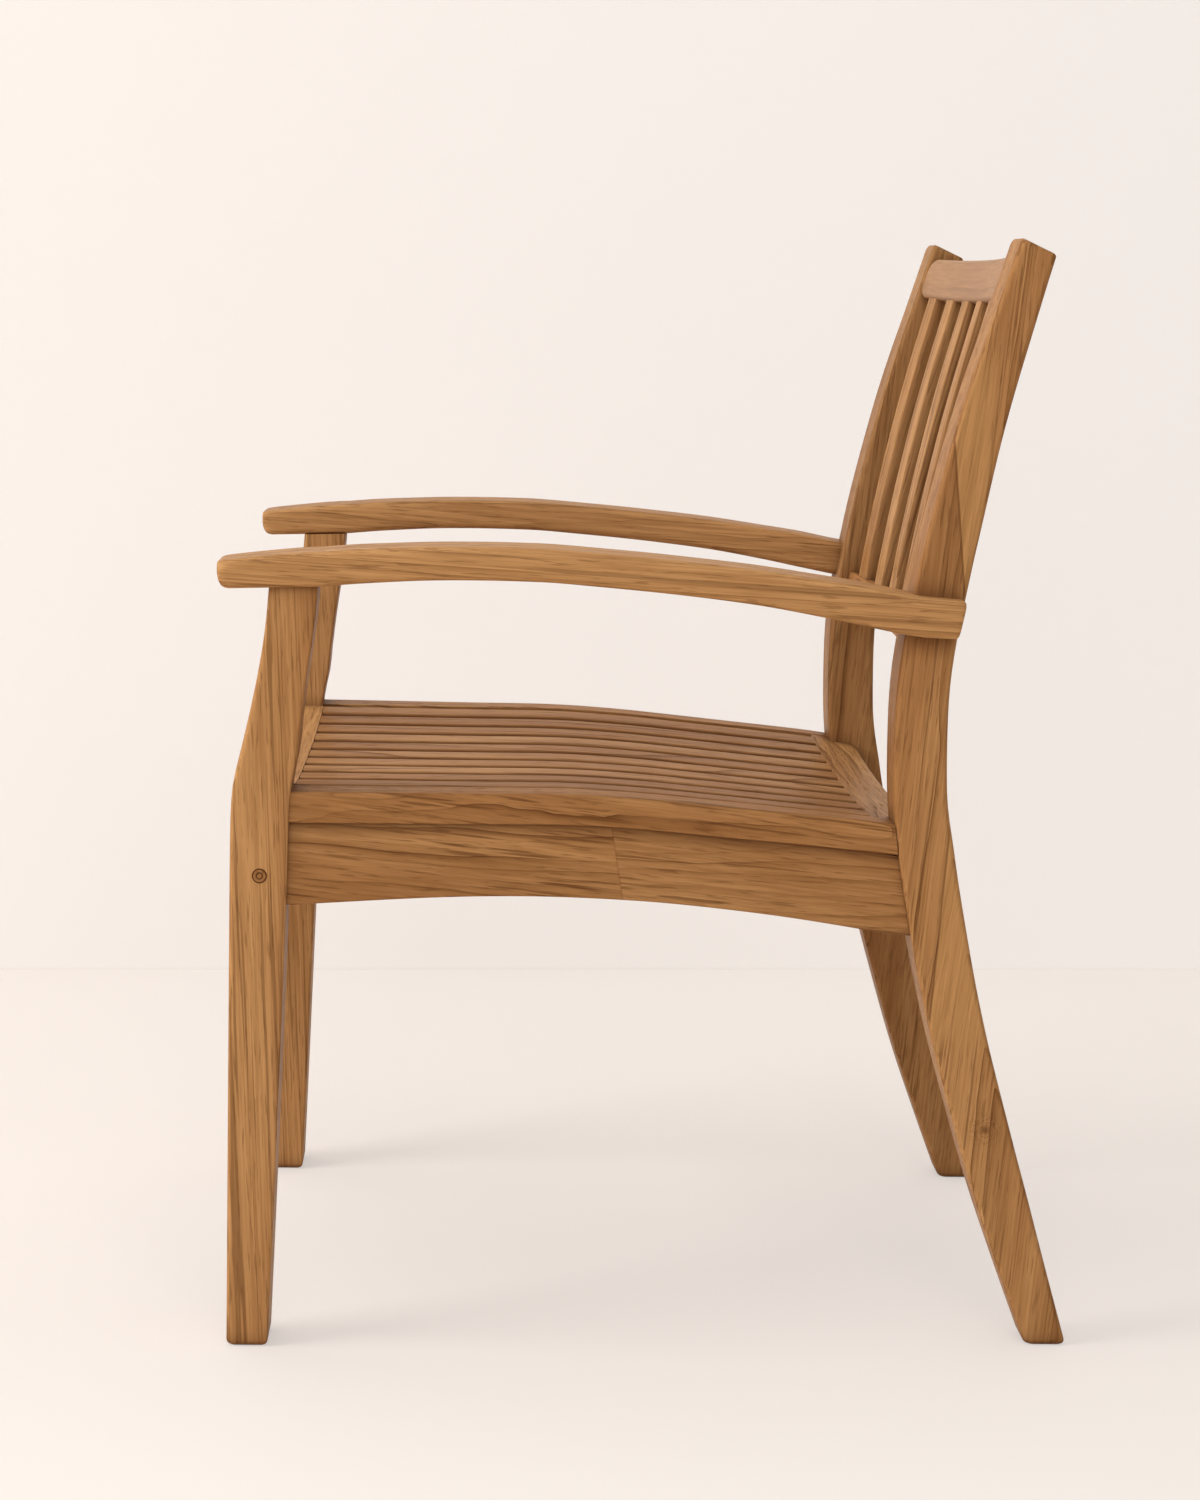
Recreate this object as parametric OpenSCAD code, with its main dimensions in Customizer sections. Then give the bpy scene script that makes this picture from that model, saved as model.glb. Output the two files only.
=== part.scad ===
// Single-seat slatted teak garden armchair: a fixed frame with mortise and tenon joints.
// Millimetres. X runs across the seat and +X is the sitter's left. The chair faces -Y.
// Z is up from the ground, and the origin is at the middle of the footprint.

/* [Overall] */
// Width over the outer faces of the front legs
leg_span = 560; // [520:2:640]
// Width over the outer faces of the rear posts
post_span = 526; // [506:2:546]
// Front of the arms to the back of the rear feet
depth = 683; // [640:1:740]
// Top of the seat at the front
seat_height = 446; // [420:1:470]
// Underside of the arms at the front legs
arm_height = 606; // [585:1:630]
// Top of the rear posts
back_height = 882; // [840:1:930]

/* [Legs and posts] */
// Front leg, side to side
leg_wide = 48; // [46:1:54]
// Front leg, front to back where the seat meets it
leg_deep = 45; // [43:1:50]
// Rear post, side to side
post_wide = 50; // [48:1:54]
// Rear post, front to back where the seat meets it
post_deep = 45; // [44:1:50]
// How much the rear post's inner face draws out towards the foot
post_taper = 10; // [0:1:14]
// Rounding of the legs' and posts' long edges
leg_round = 4.5; // [2:0.5:7]

/* [Arms] */
// Arm, side to side
arm_wide = 60; // [56:1:68]
// Arm, thickness at the middle
arm_thick = 26; // [24:1:32]
// How far the arm stands out beyond the front leg
arm_overhang = 11; // [6:1:14]
// How far the arm's rear end stands out beyond the post
arm_lap = 26; // [20:1:30]
// Rounding of the arm's edges
arm_round = 6; // [3:0.5:8]

/* [Seat] */
// Clear gap between two seat slats
seat_gap = 7.5; // [5:0.5:10]
// Seat slat thickness
seat_slat_thick = 18; // [16:1:20]
// Seat frame board thickness
rail_thick = 24.5; // [23:0.5:28]
// Seat side board, side to side at the front leg
side_rail_wide = 36; // [33:1:38]
// Seat front board, front to back
front_rail_wide = 47; // [44:1:50]
// Seat rear board, front to back
rear_board_wide = 40; // [36:1:44]
// Depth of the hollow across the seat
seat_dish = 6.5; // [0:0.5:9]
// Seat side board, step in from the leg's outer face
rail_step = 2; // [0:0.5:4]

/* [Aprons] */
// Apron thickness
apron_thick = 24; // [22:1:26]
// Side apron, step in from the leg's outer face
apron_step = 5; // [4:0.5:10]
// Lower edge of the side apron at the front leg
apron_low = 356; // [340:1:360]
// Rise of the arch in the side apron's lower edge
apron_arch = 8; // [4:0.5:12]
// Height of the bearer under the seat slats
bearer_high = 38; // [30:1:44]

/* [Back] */
// Back slat, side to side
back_slat_wide = 38; // [30:1:46]
// Back slat thickness
back_slat_thick = 18; // [15:0.5:18]
// Depth of the curve across the back
back_sag = 8; // [0:0.5:12]
// Crest rail height
crest_high = 37; // [30:1:44]
// Crest rail and lower back rail thickness
crest_thick = 24; // [24:1:26]
// Lower back rail height
lower_rail_high = 26; // [24:1:32]

/* [Joints] */
// Clearance all round a tenon in its mortise
joint_gap = 0.2; // [0.1:0.05:0.4]
// Tenon thickness of the frame joints
tenon_thick = 12; // [10:1:13]
// How far the frame tenons reach into a leg or post
tenon_long = 18; // [14:1:19]
// Wood plug diameter
plug_dia = 12; // [10:0.5:14]
// Apron screw shank diameter
screw_dia = 6; // [5:0.5:7]

/* [Hidden] */

teak = [0.68, 0.48, 0.30];
steel = [0.72, 0.72, 0.70];
seat_slats = 10;
back_slats = 5;
corner_facets = 2;

// The outlines below are drawn at these sizes, then stretched to the ones asked for.
drawn_depth = 683;
drawn_seat = 446;
drawn_arm = 606;
drawn_back = 882;
drawn_section = 45;
drawn_arm_thick = 26;
drawn_screw = 380;
drawn_lower = 556;
drawn_joint = 590;

// Outlines as [height, place] or [depth, place]; the depth lines give front-to-back sizes.
leg_front_line = [[0, -332.5], [400, -331.5], [440, -330.5], [456, -328.5], [486, -321.5],
    [518, -314.5], [550, -308.5], [580, -304.5], [606, -302.5]];
leg_depth_line = [[0, 32.7], [140, 37.6], [360, 44.4], [470, 45], [503, 41], [542, 38], [606, 38]];
post_front_line = [[0, 308.5], [56, 287], [123, 262.5], [190, 241.5], [256, 222.5],
    [325, 206.5], [420, 189.5], [490, 186], [549, 188], [626, 200.5], [682, 212.5],
    [757, 231.5], [832, 255], [882, 270.5]];
post_depth_line = [[0, 34], [56, 38.5], [138, 44], [400, 45], [450, 42.5], [650, 41.5],
    [712, 39], [774, 36.5], [835, 33.2], [882, 31.5]];
arm_low_line = [[-262, 606.6], [-232, 609.5], [-172, 613], [-95, 613], [-48, 610], [12, 605],
    [74, 598], [122, 590], [163, 582], [200, 575.5], [237, 574]];
arm_depth_line = [[-342, 21.5], [-302, 25], [-272, 26.8], [-232, 26.7], [-190, 26], [15, 26.5],
    [80, 27.5], [125, 29], [165, 31], [237, 29.5]];

// Under its tip and over the leg the arm's lower face is flat, tilted about a level point.
arm_flat_end = -262;
arm_level = -280;
arm_tilt = 0.035;

// Rounded ends as insets: [depth, low, high] at the arm's tip, [depth, low and high] at its
// tail, [front drop, rear drop, front, rear] at the post's crown, [from the end, top, low]
// at the crest rail's ends.
arm_nose = [[0, 10, 1.4], [1.5, 4.8, 0.7], [3.2, 2.2, 0.3], [9, 0, 0]];
arm_tail = [[6, 0], [1.2, 0.5], [0, 2.2]];
tail_short = 3;
post_crown = [[38, 42, 0, 0], [14, 22, 0, 0], [5, 14, 0, 0], [1.8, 11.8, 0.5, 1.2],
    [0, 10.5, 1.8, 4]];
crest_ends = [[0, 9, 5], [1.5, 5.2, 2.8], [4, 2.7, 1.2], [8, 1, 0.2], [14, 0, 0]];
seat_line = [[-334, 446], [-148, 446], [-70, 446], [-10, 443], [48, 438], [102, 433],
    [146, 429], [172, 426.5]];
seat_fall = 0.15;
apron_line = [[-286, 0], [-168, 0.85], [-90, 1], [-10, 0.6], [52, -0.1], [116, -1.1], [210, -3]];
back_slat_line = [[550, 201], [590, 206.5], [640, 215], [700, 227], [760, 241], [845, 264]];

// Heights and depths where the long members have a ring of points.
leg_rings = [0, 1.3, 5, 70, 140, 250, 360, 410, 432, 446, 460, 475, 495, 518, 545, 575, 606];
post_rings = [0, 1.3, 5, 56, 105, 150, 200, 256, 325, 390, 430, 465, 500, 535, 565, 600, 650,
    700, 757, 810];
arm_rings = [-300, -262, -232, -200, -150, -95, -48, 12, 50, 85, 122, 155, 185, 205];
seat_rings = [-240, -194, -148, -109, -70, -40, -10, 20, 48, 75, 102, 124, 146];

// Small roundings and angles that don't change with the sizes.
foot_round = 5;
board_round = 3;
seat_slat_round = 6;
back_slat_round = 5;
front_edge_round = 7;
back_rake = 16;
lower_rake = 9;
plug_deep = 8;
taper_end = 325;
crest_drop = 12;
tongue_inset = 8;
tongue_thick = 8;
tongue_long = 22;
screw_head_deep = 4;

// Heights and depths: from a drawn outline to the asked size, and back.
function up(z) = lookup(z, [[0, 0], [drawn_seat, seat_height], [drawn_arm, arm_height],
    [drawn_back, back_height]]);
function drawn(z) = lookup(z, [[0, 0], [seat_height, drawn_seat], [arm_height, drawn_arm],
    [back_height, drawn_back]]);
function aft(y) = y * depth / drawn_depth;
function fore(y) = y * drawn_depth / depth;

// Smooth value of an outline at k: cubic pieces whose slopes match at the points.
function slope(line, i) =
    let (a = max(i - 1, 0), b = min(i + 1, len(line) - 1))
    (line[b][1] - line[a][1]) / (line[b][0] - line[a][0]);
function stretch(line, k, i = 0) =
    i >= len(line) - 2 || k < line[i + 1][0] ? i : stretch(line, k, i + 1);
function smooth(k, line) =
    let (i = stretch(line, k), h = line[i + 1][0] - line[i][0], u = (k - line[i][0]) / h)
    line[i][1] * (2 * u * u * u - 3 * u * u + 1)
    + slope(line, i) * h * u * (1 - u) * (1 - u)
    + line[i + 1][1] * (3 * u * u - 2 * u * u * u)
    + slope(line, i + 1) * h * u * u * (u - 1);

// Front, back, top and bottom of the main members at a height or a depth.
function leg_front(z) = aft(smooth(drawn(z), leg_front_line));
function leg_back(z) =
    leg_front(z) + leg_deep / drawn_section * smooth(drawn(z), leg_depth_line);
function post_front(z) = aft(smooth(drawn(z), post_front_line));
function post_back(z) =
    post_front(z) + post_deep / drawn_section * smooth(drawn(z), post_depth_line);
function arm_low(y) =
    let (v = fore(y))
    v <= arm_flat_end ? arm_height + arm_tilt * (v - arm_level) : up(smooth(v, arm_low_line));
function arm_top(y) =
    arm_low(y) + arm_thick / drawn_arm_thick * smooth(fore(y), arm_depth_line);
function seat_top(y) =
    let (v = fore(y), last = seat_line[len(seat_line) - 1])
    up(v < last[0] ? smooth(v, seat_line) : last[1] - seat_fall * (v - last[0]));
function apron_bottom(y) = apron_low + apron_arch * smooth(fore(y), apron_line);
function back_slat_front(z) = aft(smooth(drawn(z), back_slat_line));

// Plan: the sides draw in from the front legs to the rear posts.
leg_out = leg_span / 2;
leg_in = leg_out - leg_wide;
post_out = post_span / 2;
post_in = post_out - post_wide;
function post_in_at(z) = post_in + post_taper * max(0, 1 - drawn(z) / taper_end);
function foot_inset(v) =
    v < foot_round ? foot_round - sqrt(foot_round * foot_round - pow(foot_round - v, 2)) : 0;
seat_front_y = leg_back(seat_height);
seat_back_y = post_front(seat_height);
function side_out(y) =
    leg_out + (post_out - leg_out) * (y - seat_front_y) / (seat_back_y - seat_front_y);
function apron_in(y) = side_out(y) - apron_step - apron_thick;
function arm_out(y) =
    let (u = (y + depth / 2) / (seat_back_y + depth / 2))
    (leg_out + arm_overhang) * (1 - u) + (post_out + arm_lap) * u;

// Seat plan: slats lie between the front rail and the rear board, and fan in to the rear.
slat_front_y = leg_front(seat_height) + front_rail_wide;
slat_back_y = seat_back_y - 14;
board_back_y = slat_back_y + rear_board_wide;
function rail_in(y) =
    leg_out - rail_step - side_rail_wide
    - (leg_out - post_out) / 2 * (y - slat_front_y) / (slat_back_y - slat_front_y);
function gap_place(i, y) = (2 * i / seat_slats - 1) * (rail_in(y) - seat_gap / 2);

// Hollow across the seat, and curve across the back.
function hollow(x) = seat_dish * max(0, 1 - pow(x / (leg_out - 38), 2));
function sag(x) = back_sag * (1 - pow(x / post_in, 2));

// Points round a w by h section; r rounds its corners: right and left high, left and right low.
function loop(w, h, r) =
    let (q = [for (a = r) max(0.2, min(a, w / 2 - 0.3, h / 2 - 0.3))], n = corner_facets)
    [for (c = [[w - q[0], h - q[0], 0, q[0]], [q[1], h - q[1], 90, q[1]],
        [q[2], q[2], 180, q[2]], [w - q[3], q[3], 270, q[3]]])
        for (i = [0:n])
            [c[0] + c[3] * cos(c[2] + 90 * i / n), c[1] + c[3] * sin(c[2] + 90 * i / n)]];
function same(r) = [r, r, r, r];

// A ring of a lengthwise member, from x0 to x1, between [y, z] points on its low and high edge.
function ring(low, high, x0, x1, r) =
    let (d = high - low, h = norm(d))
    [for (p = loop(x1 - x0, h, r))
        [x0 + p[0], low[0] + d[0] * p[1] / h, low[1] + d[1] * p[1] / h]];

// A ring of a cross member at x, from its low front [y, z] corner, leaning back by turn.
function slice(x, corner, deep, high, r, turn = 0) =
    [for (p = loop(deep, high, r))
        [x, corner[0] + p[0] * cos(turn) + p[1] * sin(turn),
            corner[1] - p[0] * sin(turn) + p[1] * cos(turn)]];

// A ring drawn down by the hollow of the seat, or pushed back by the curve of the back.
function dished(row) = [for (p = row) [p[0], p[1], p[2] - hollow(p[0])]];
function bowed(row) = [for (p = row) [p[0], p[1] + sag(p[0]) / cos(back_rake), p[2]]];

// The solid through a row of rings, turned so that its faces point outwards.
module skin(rings) {
    n = len(rings[0]);
    m = len(rings);
    a = rings[0];
    normal = cross(a[floor(n / 4)] - a[0], a[floor(n / 2)] - a[0]);
    row = normal * (rings[1][0] - a[0]) > 0 ? rings : [for (j = [m - 1:-1:0]) rings[j]];
    polyhedron(
        points = [for (r = row) each r],
        faces = concat(
            [[for (i = [0:n - 1]) i]],
            [for (j = [0:m - 2]) for (i = [0:n - 1])
                [j * n + i, j * n + n + i, j * n + n + (i + 1) % n]],
            [for (j = [0:m - 2]) for (i = [0:n - 1])
                [j * n + i, j * n + n + (i + 1) % n, j * n + (i + 1) % n]],
            [[for (i = [n - 1:-1:0]) (m - 1) * n + i]]),
        convexity = 6);
}

module flip(side) {
    mirror([side < 0 ? 1 : 0, 0, 0]) children();
}

module both() {
    children();
    mirror([1, 0, 0]) children();
}

// A block from its centre, with a clearance added on every side.
module block(centre, size, grow = 0) {
    translate(centre) cube([for (s = size) s + 2 * grow], center = true);
}

// All that lies behind the rear posts' front line, or before the front legs' rear line.
module side_plate(x0, x1, points) {
    translate([x0, 0, 0]) rotate([90, 0, 90]) linear_extrude(x1 - x0) polygon(points);
}

module behind_posts(x0, x1) {
    side_plate(x0, x1, concat([for (v = post_rings) [post_front(up(v)), up(v)]],
        [[depth, up(post_rings[len(post_rings) - 1])], [depth, 0]]));
}

module before_legs(x0, x1) {
    side_plate(x0, x1, concat([for (v = leg_rings) [leg_back(up(v)), up(v)]],
        [[-depth, arm_height], [-depth, 0]]));
}

// Tenons. Each is also cut out of its partner, with the joint clearance added.
leg_tenon_y = (leg_front(arm_height) + leg_back(arm_height)) / 2;
module leg_tenon(grow = 0) {
    block([leg_out - leg_wide / 2, leg_tenon_y, arm_height + 3], [leg_wide - 20, 22, 26], grow);
}

arm_joint_y = post_front(up(drawn_joint));
arm_joint_z = arm_low(arm_joint_y) + arm_thick / 2 + 2;
module arm_tenon(grow = 0) {
    block([post_out - 15, arm_joint_y, arm_joint_z], [tenon_thick, 30, 14], grow);
}

module side_rail_tenons(grow = 0) {
    front_x = leg_out - rail_step - side_rail_wide / 2;
    back_x = (rail_in(seat_back_y) + post_out - rail_step) / 2;
    block([front_x, seat_front_y, seat_height - rail_thick / 2], [16, 30, 10], grow);
    block([back_x, seat_back_y, seat_top(seat_back_y) - rail_thick / 2], [14, 26, 10], grow);
}

apron_front_z = seat_height - rail_thick - 34;
apron_back_z = seat_top(seat_back_y) - rail_thick - 36;
module side_apron_tenons(grow = 0) {
    inset = apron_step + apron_thick / 2;
    block([leg_out - inset, leg_back(apron_front_z), apron_front_z], [tenon_thick, 36, 42], grow);
    block([post_out - inset, post_front(apron_back_z), apron_back_z], [tenon_thick, 44, 36], grow);
}

screw_z = up(drawn_screw);
apron_y = (leg_front(screw_z) + leg_back(screw_z)) / 2 + 1;
module front_apron_tenon(grow = 0) {
    block([leg_in, apron_y, apron_front_z + 4], [2 * tenon_long, tenon_thick, 34], grow);
}

module front_rail_tenon(grow = 0) {
    block([leg_in, apron_y + 2, seat_height - rail_thick / 2], [24, 18, 10], grow);
}

rear_apron_y = post_front(apron_back_z) + post_deep / 3;
module rear_apron_tenon(grow = 0) {
    block([post_in, rear_apron_y, apron_back_z + 2], [2 * tenon_long - 4, tenon_thick, 34], grow);
}

rear_tenon_y = (seat_back_y + board_back_y) / 2 + 2;
module rear_board_tenon(grow = 0) {
    block([post_in, rear_tenon_y, seat_top(rear_tenon_y) - rail_thick / 2], [24, 14, 10], grow);
}

// The back's rails lie on the rake of the posts, placed by their low front corner.
crest_z = back_height - (crest_high + crest_drop) * cos(back_rake);
crest_corner = [post_front(crest_z) + 3, crest_z];
lower_z = up(drawn_lower);
lower_corner = [post_front(lower_z) + 10, lower_z];

module rail_tenon(corner, turn, high, shoulder, grow) {
    size = [2 * tenon_long - 6, tenon_thick - 2, high - 2 * shoulder];
    translate([post_in, corner[0], corner[1]]) rotate([-turn, 0, 0])
        block([0, crest_thick / 2, high / 2], size, grow);
}

module crest_tenon(grow = 0) {
    rail_tenon(crest_corner, back_rake, crest_high, 10, grow);
}

module lower_tenon(grow = 0) {
    rail_tenon(lower_corner, lower_rake, lower_rail_high, 5, grow);
}

// Tongues on the ends of back slat i, into the crest and the lower rail.
back_pitch = (2 * post_in - 12) / back_slats;
function back_slat_x(i) = (i - (back_slats + 1) / 2) * back_pitch;
module back_tongue(i, z, turn, grow) {
    x = back_slat_x(i);
    y = back_slat_front(z) + sag(x) / cos(back_rake) + back_slat_thick / 2;
    translate([x, y, z]) rotate([-turn, 0, 0])
        block([0, 0, 0], [back_slat_wide - 2 * tongue_inset, tongue_thick, tongue_long], grow);
}

module crest_tongue(i, grow = 0) {
    back_tongue(i, crest_z - 4, back_rake, grow);
}

module lower_tongue(i, grow = 0) {
    back_tongue(i, lower_z + lower_rail_high + 1, lower_rake, grow);
}

// Tongues on the ends of seat slat i, into the front rail and the rear board.
module seat_tongue(i, y, grow) {
    x = (gap_place(i - 1, y) + gap_place(i, y)) / 2;
    block([x, y, seat_top(y) - seat_slat_thick / 2 - hollow(x)], [24, 16, 7], grow);
}

// The bearer's ends, let into the side aprons.
bearer_y = aft(-60);
bearer_top = seat_top(bearer_y + apron_thick / 2) - seat_slat_thick;
module bearer_tenon(grow = 0) {
    block([apron_in(bearer_y), bearer_y, bearer_top - bearer_high / 2],
        [24, tenon_thick, bearer_high - 14], grow);
}

// Screw through the leg into the front apron, under a wood plug.
module across(x0, x1, d) {
    translate([x0, apron_y, screw_z]) rotate([0, 90, 0]) cylinder(d = d, h = x1 - x0, $fn = 24);
}

module apron_screw_hole() {
    across(leg_out - plug_deep - screw_head_deep - 1, leg_out + 1, plug_dia);
    across(leg_in - 56, leg_out - plug_deep, screw_dia);
}

module apron_screw() {
    head = leg_out - plug_deep - 1;
    difference() {
        union() {
            across(head - screw_head_deep, head, plug_dia - 1);
            across(leg_in - 55, head - 1, screw_dia);
        }
        across(head - 2, head + 1, 3);
    }
}

module leg_plug() {
    difference() {
        across(leg_out - plug_deep, leg_out + 0.3, plug_dia);
        difference() {
            across(leg_out - 0.5, leg_out + 1, plug_dia / 2 + 0.8);
            across(leg_out - 1, leg_out + 2, plug_dia / 2);
        }
    }
}

// Front leg: upright below the seat, drawn back in a hollow curve up to the arm.
module front_leg() {
    difference() {
        union() {
            skin([for (v = leg_rings)
                let (z = up(v), in = foot_inset(v),
                    row = ring([leg_front(z) + in, z], [leg_back(z) - in, z], leg_in + in,
                        leg_out - in, [leg_round / 2, leg_round / 2, leg_round, leg_round]))
                [for (p = row) [p[0], p[1], z < arm_height ? z : arm_low(p[1])]]]);
            leg_tenon();
        }
        side_rail_tenons(joint_gap);
        side_apron_tenons(joint_gap);
        front_apron_tenon(joint_gap);
        front_rail_tenon(joint_gap);
        apron_screw_hole();
    }
}

// Rear post: raked foot, nearly upright at the seat, leaning back above it.
module rear_post() {
    body = [for (v = post_rings)
        let (z = up(v), in = foot_inset(v))
        ring([post_front(z) + in, z], [post_back(z) - in, z], post_in_at(z) + in, post_out - in,
            same(leg_round))];
    crown = [for (c = post_crown)
        let (a = back_height - c[0], b = back_height - c[1], side = 0.6 * c[3])
        ring([post_front(a) + c[2], a], [post_back(b) - c[3], b], post_in + side,
            post_out - side, same(leg_round))];
    difference() {
        skin(concat(body, crown));
        arm_tenon(joint_gap);
        side_rail_tenons(joint_gap);
        side_apron_tenons(joint_gap);
        rear_apron_tenon(joint_gap);
        rear_board_tenon(joint_gap);
        crest_tenon(joint_gap);
        lower_tenon(joint_gap);
    }
}

// Arm: rides over the front leg, dips to the rear and laps the post's outer face.
module arm() {
    nose = [for (c = arm_nose)
        let (y = c[0] - depth / 2, side = 0.4 * c[1])
        ring([y, arm_low(y) + c[1]], [y, arm_top(y) - c[2]], arm_out(y) - arm_wide + side,
            arm_out(y) - side, same(arm_round))];
    run = [for (v = arm_rings)
        let (y = aft(v))
        ring([y, arm_low(y)], [y, arm_top(y)], arm_out(y) - arm_wide, arm_out(y), same(arm_round))];
    low = arm_low(aft(230));
    high = arm_top(aft(230));
    tail = [for (c = arm_tail)
        let (in = tail_short + c[0],
            a = [post_back(low) - in, low + c[1]], b = [post_back(high) - in, high - c[1]])
        ring(a, b, arm_out(a[0]) - arm_wide, arm_out(a[0]) - c[1] / 2, same(arm_round))];
    difference() {
        union() {
            difference() {
                skin(concat(nose, run, tail));
                behind_posts(post_out - arm_wide, post_out);
            }
            arm_tenon();
        }
        leg_tenon(joint_gap);
    }
}

// Seat side board: lies on the side apron and carries the seat's curve from leg to post.
module seat_rail() {
    ends = [seat_front_y - 10, seat_back_y + 20];
    difference() {
        skin([for (y = concat([ends[0]], [for (v = seat_rings) aft(v)], [ends[1]]))
            ring([y, seat_top(y) - rail_thick], [y, seat_top(y)], rail_in(y),
                side_out(y) - rail_step, [board_round, 1, 0.3, 1])]);
        behind_posts(post_in - 20, leg_out + 20);
        before_legs(post_in - 20, leg_out + 20);
    }
    side_rail_tenons();
}

// Side apron: arched lower edge, top under the seat side board.
module side_apron() {
    ends = [seat_front_y - 10, seat_back_y + 30];
    difference() {
        skin([for (y = concat([ends[0]], [for (v = seat_rings) aft(v)], [ends[1]]))
            ring([y, apron_bottom(y)], [y, seat_top(y) - rail_thick], apron_in(y),
                side_out(y) - apron_step, [0.3, 0.3, 2, 2])]);
        behind_posts(post_in - 20, leg_out + 20);
        before_legs(post_in - 20, leg_out + 20);
        bearer_tenon(joint_gap);
    }
    side_apron_tenons();
}

// Seat front rail: follows the seat's hollow between the front legs, with a rounded nose.
function steps(half, n) = [for (j = [0:n]) half * (2 * j / n - 1)];
module seat_front_rail() {
    difference() {
        union() {
            skin([for (x = steps(leg_in, 12))
                dished(slice(x, [leg_front(seat_height) + 0.5, seat_height - rail_thick],
                    front_rail_wide - 0.5, rail_thick, [0.4, front_edge_round, 2, 0.3]))]);
            both() front_rail_tenon();
        }
        for (i = [1:seat_slats]) {
            seat_tongue(i, slat_front_y, joint_gap);
        }
    }
}

// Front apron: centred in the legs, top under the front rail.
function arch(x, half) = apron_arch * (1 - pow(x / half, 2));
module front_apron() {
    difference() {
        union() {
            skin([for (x = steps(leg_in, 12))
                let (top = seat_height - rail_thick - hollow(x), low = apron_low + arch(x, leg_in))
                slice(x, [apron_y - apron_thick / 2, low], apron_thick, top - low, [0.3, 0.3, 2, 2])]);
            both() front_apron_tenon();
        }
        both() apron_screw_hole();
    }
}

// Seat rear board: from side board to side board, notched round the posts.
module seat_rear_board() {
    ends = rail_in(slat_back_y);
    row = [for (x = concat([-ends], steps(post_in, 12), [ends]))
        [for (p = loop(rear_board_wide, rail_thick, [board_round, 0.4, 0.3, 1]))
            let (y = slat_back_y + p[0], side = abs(x) < ends ? x : sign(x) * rail_in(y))
            [side, y, seat_top(y) - rail_thick + p[1] - hollow(side)]]];
    difference() {
        union() {
            difference() {
                skin(row);
                both() behind_posts(post_in, leg_out);
            }
            both() rear_board_tenon();
        }
        for (i = [1:seat_slats]) {
            seat_tongue(i, slat_back_y, joint_gap);
        }
    }
}

// Rear apron: between the posts, top under the rear board.
module rear_apron() {
    skin([for (x = steps(post_in, 12))
        let (y0 = rear_apron_y - apron_thick / 2, low = apron_bottom(rear_apron_y) + arch(x, post_in))
        [for (p = loop(apron_thick, 60, [0.3, 0.3, 2, 2]))
            let (y = y0 + p[0], top = seat_top(y) - rail_thick - hollow(x))
            [x, y, low + (top - low) * p[1] / 60]]]);
    both() rear_apron_tenon();
}

// Bearer: carries the slats at mid-span, let into both side aprons.
module seat_bearer() {
    ends = apron_in(bearer_y);
    row = [for (x = concat([-ends], steps(ends - 20, 12), [ends]))
        [for (p = slice(x, [bearer_y - apron_thick / 2, bearer_top - bearer_high], apron_thick,
                bearer_high, same(1)))
            let (side = abs(x) < ends ? x : sign(x) * apron_in(p[1]))
            [side, p[1], p[2] - hollow(side)]]];
    skin(row);
    both() bearer_tenon();
}

// Seat slat i, counted from the sitter's right.
module seat_slat(i) {
    skin([for (y = concat([slat_front_y], [for (v = seat_rings) aft(v)], [slat_back_y]))
        dished(ring([y, seat_top(y) - seat_slat_thick], [y, seat_top(y)],
            gap_place(i - 1, y) + seat_gap / 2, gap_place(i, y) - seat_gap / 2,
            [seat_slat_round, seat_slat_round, 0.5, 0.5]))]);
    seat_tongue(i, slat_front_y, 0);
    seat_tongue(i, slat_back_y, 0);
}

// Crest rail: curved between the post tops, its ends eased above and below.
function eased(x, k) = lookup(post_in - abs(x), [for (c = crest_ends) [c[0], c[k]]]);
module crest_rail() {
    ends = [for (c = crest_ends) post_in - c[0]];
    last = len(ends) - 1;
    places = concat([for (e = ends) -e], steps(post_in - 36, 12), [for (i = [last:-1:0]) ends[i]]);
    difference() {
        skin([for (x = places)
            slice(x, crest_corner + sag(x) * [cos(back_rake), -sin(back_rake)]
                + eased(x, 2) * [sin(back_rake), cos(back_rake)], crest_thick,
                crest_high - eased(x, 1) - eased(x, 2), [6, 6, 4, 4], back_rake)]);
        for (i = [1:back_slats]) {
            crest_tongue(i, joint_gap);
        }
    }
    both() crest_tenon();
}

// Lower back rail: carries the feet of the back slats.
module lower_back_rail() {
    difference() {
        skin([for (x = steps(post_in, 16))
            slice(x, lower_corner + sag(x) * [cos(lower_rake), -sin(lower_rake)], crest_thick,
                lower_rail_high, same(3), lower_rake)]);
        for (i = [1:back_slats]) {
            lower_tongue(i, joint_gap);
        }
    }
    both() lower_tenon();
}

// Back slat i, counted from the sitter's right: follows the rake and the curve of the back,
// and ends on the crest's underside and the lower rail's top.
function on_plane(row, corner, turn) =
    [for (p = row) [p[0], p[1], corner[1] - (p[1] - corner[0]) * tan(turn)]];
module back_slat(i) {
    x = back_slat_x(i);
    seat = lower_corner + lower_rail_high * [sin(lower_rake), cos(lower_rake)];
    n = 8;
    row = [for (j = [0:n])
        let (z = seat[1] + (crest_z - seat[1]) * j / n, y = back_slat_front(z))
        bowed(ring([y, z], [y + back_slat_thick, z], x - back_slat_wide / 2,
            x + back_slat_wide / 2, same(back_slat_round)))];
    skin([for (j = [0:n])
        j == 0 ? on_plane(row[j], seat, lower_rake)
        : j == n ? on_plane(row[j], crest_corner, back_rake)
        : row[j]]);
    crest_tongue(i);
    lower_tongue(i);
}

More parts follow.
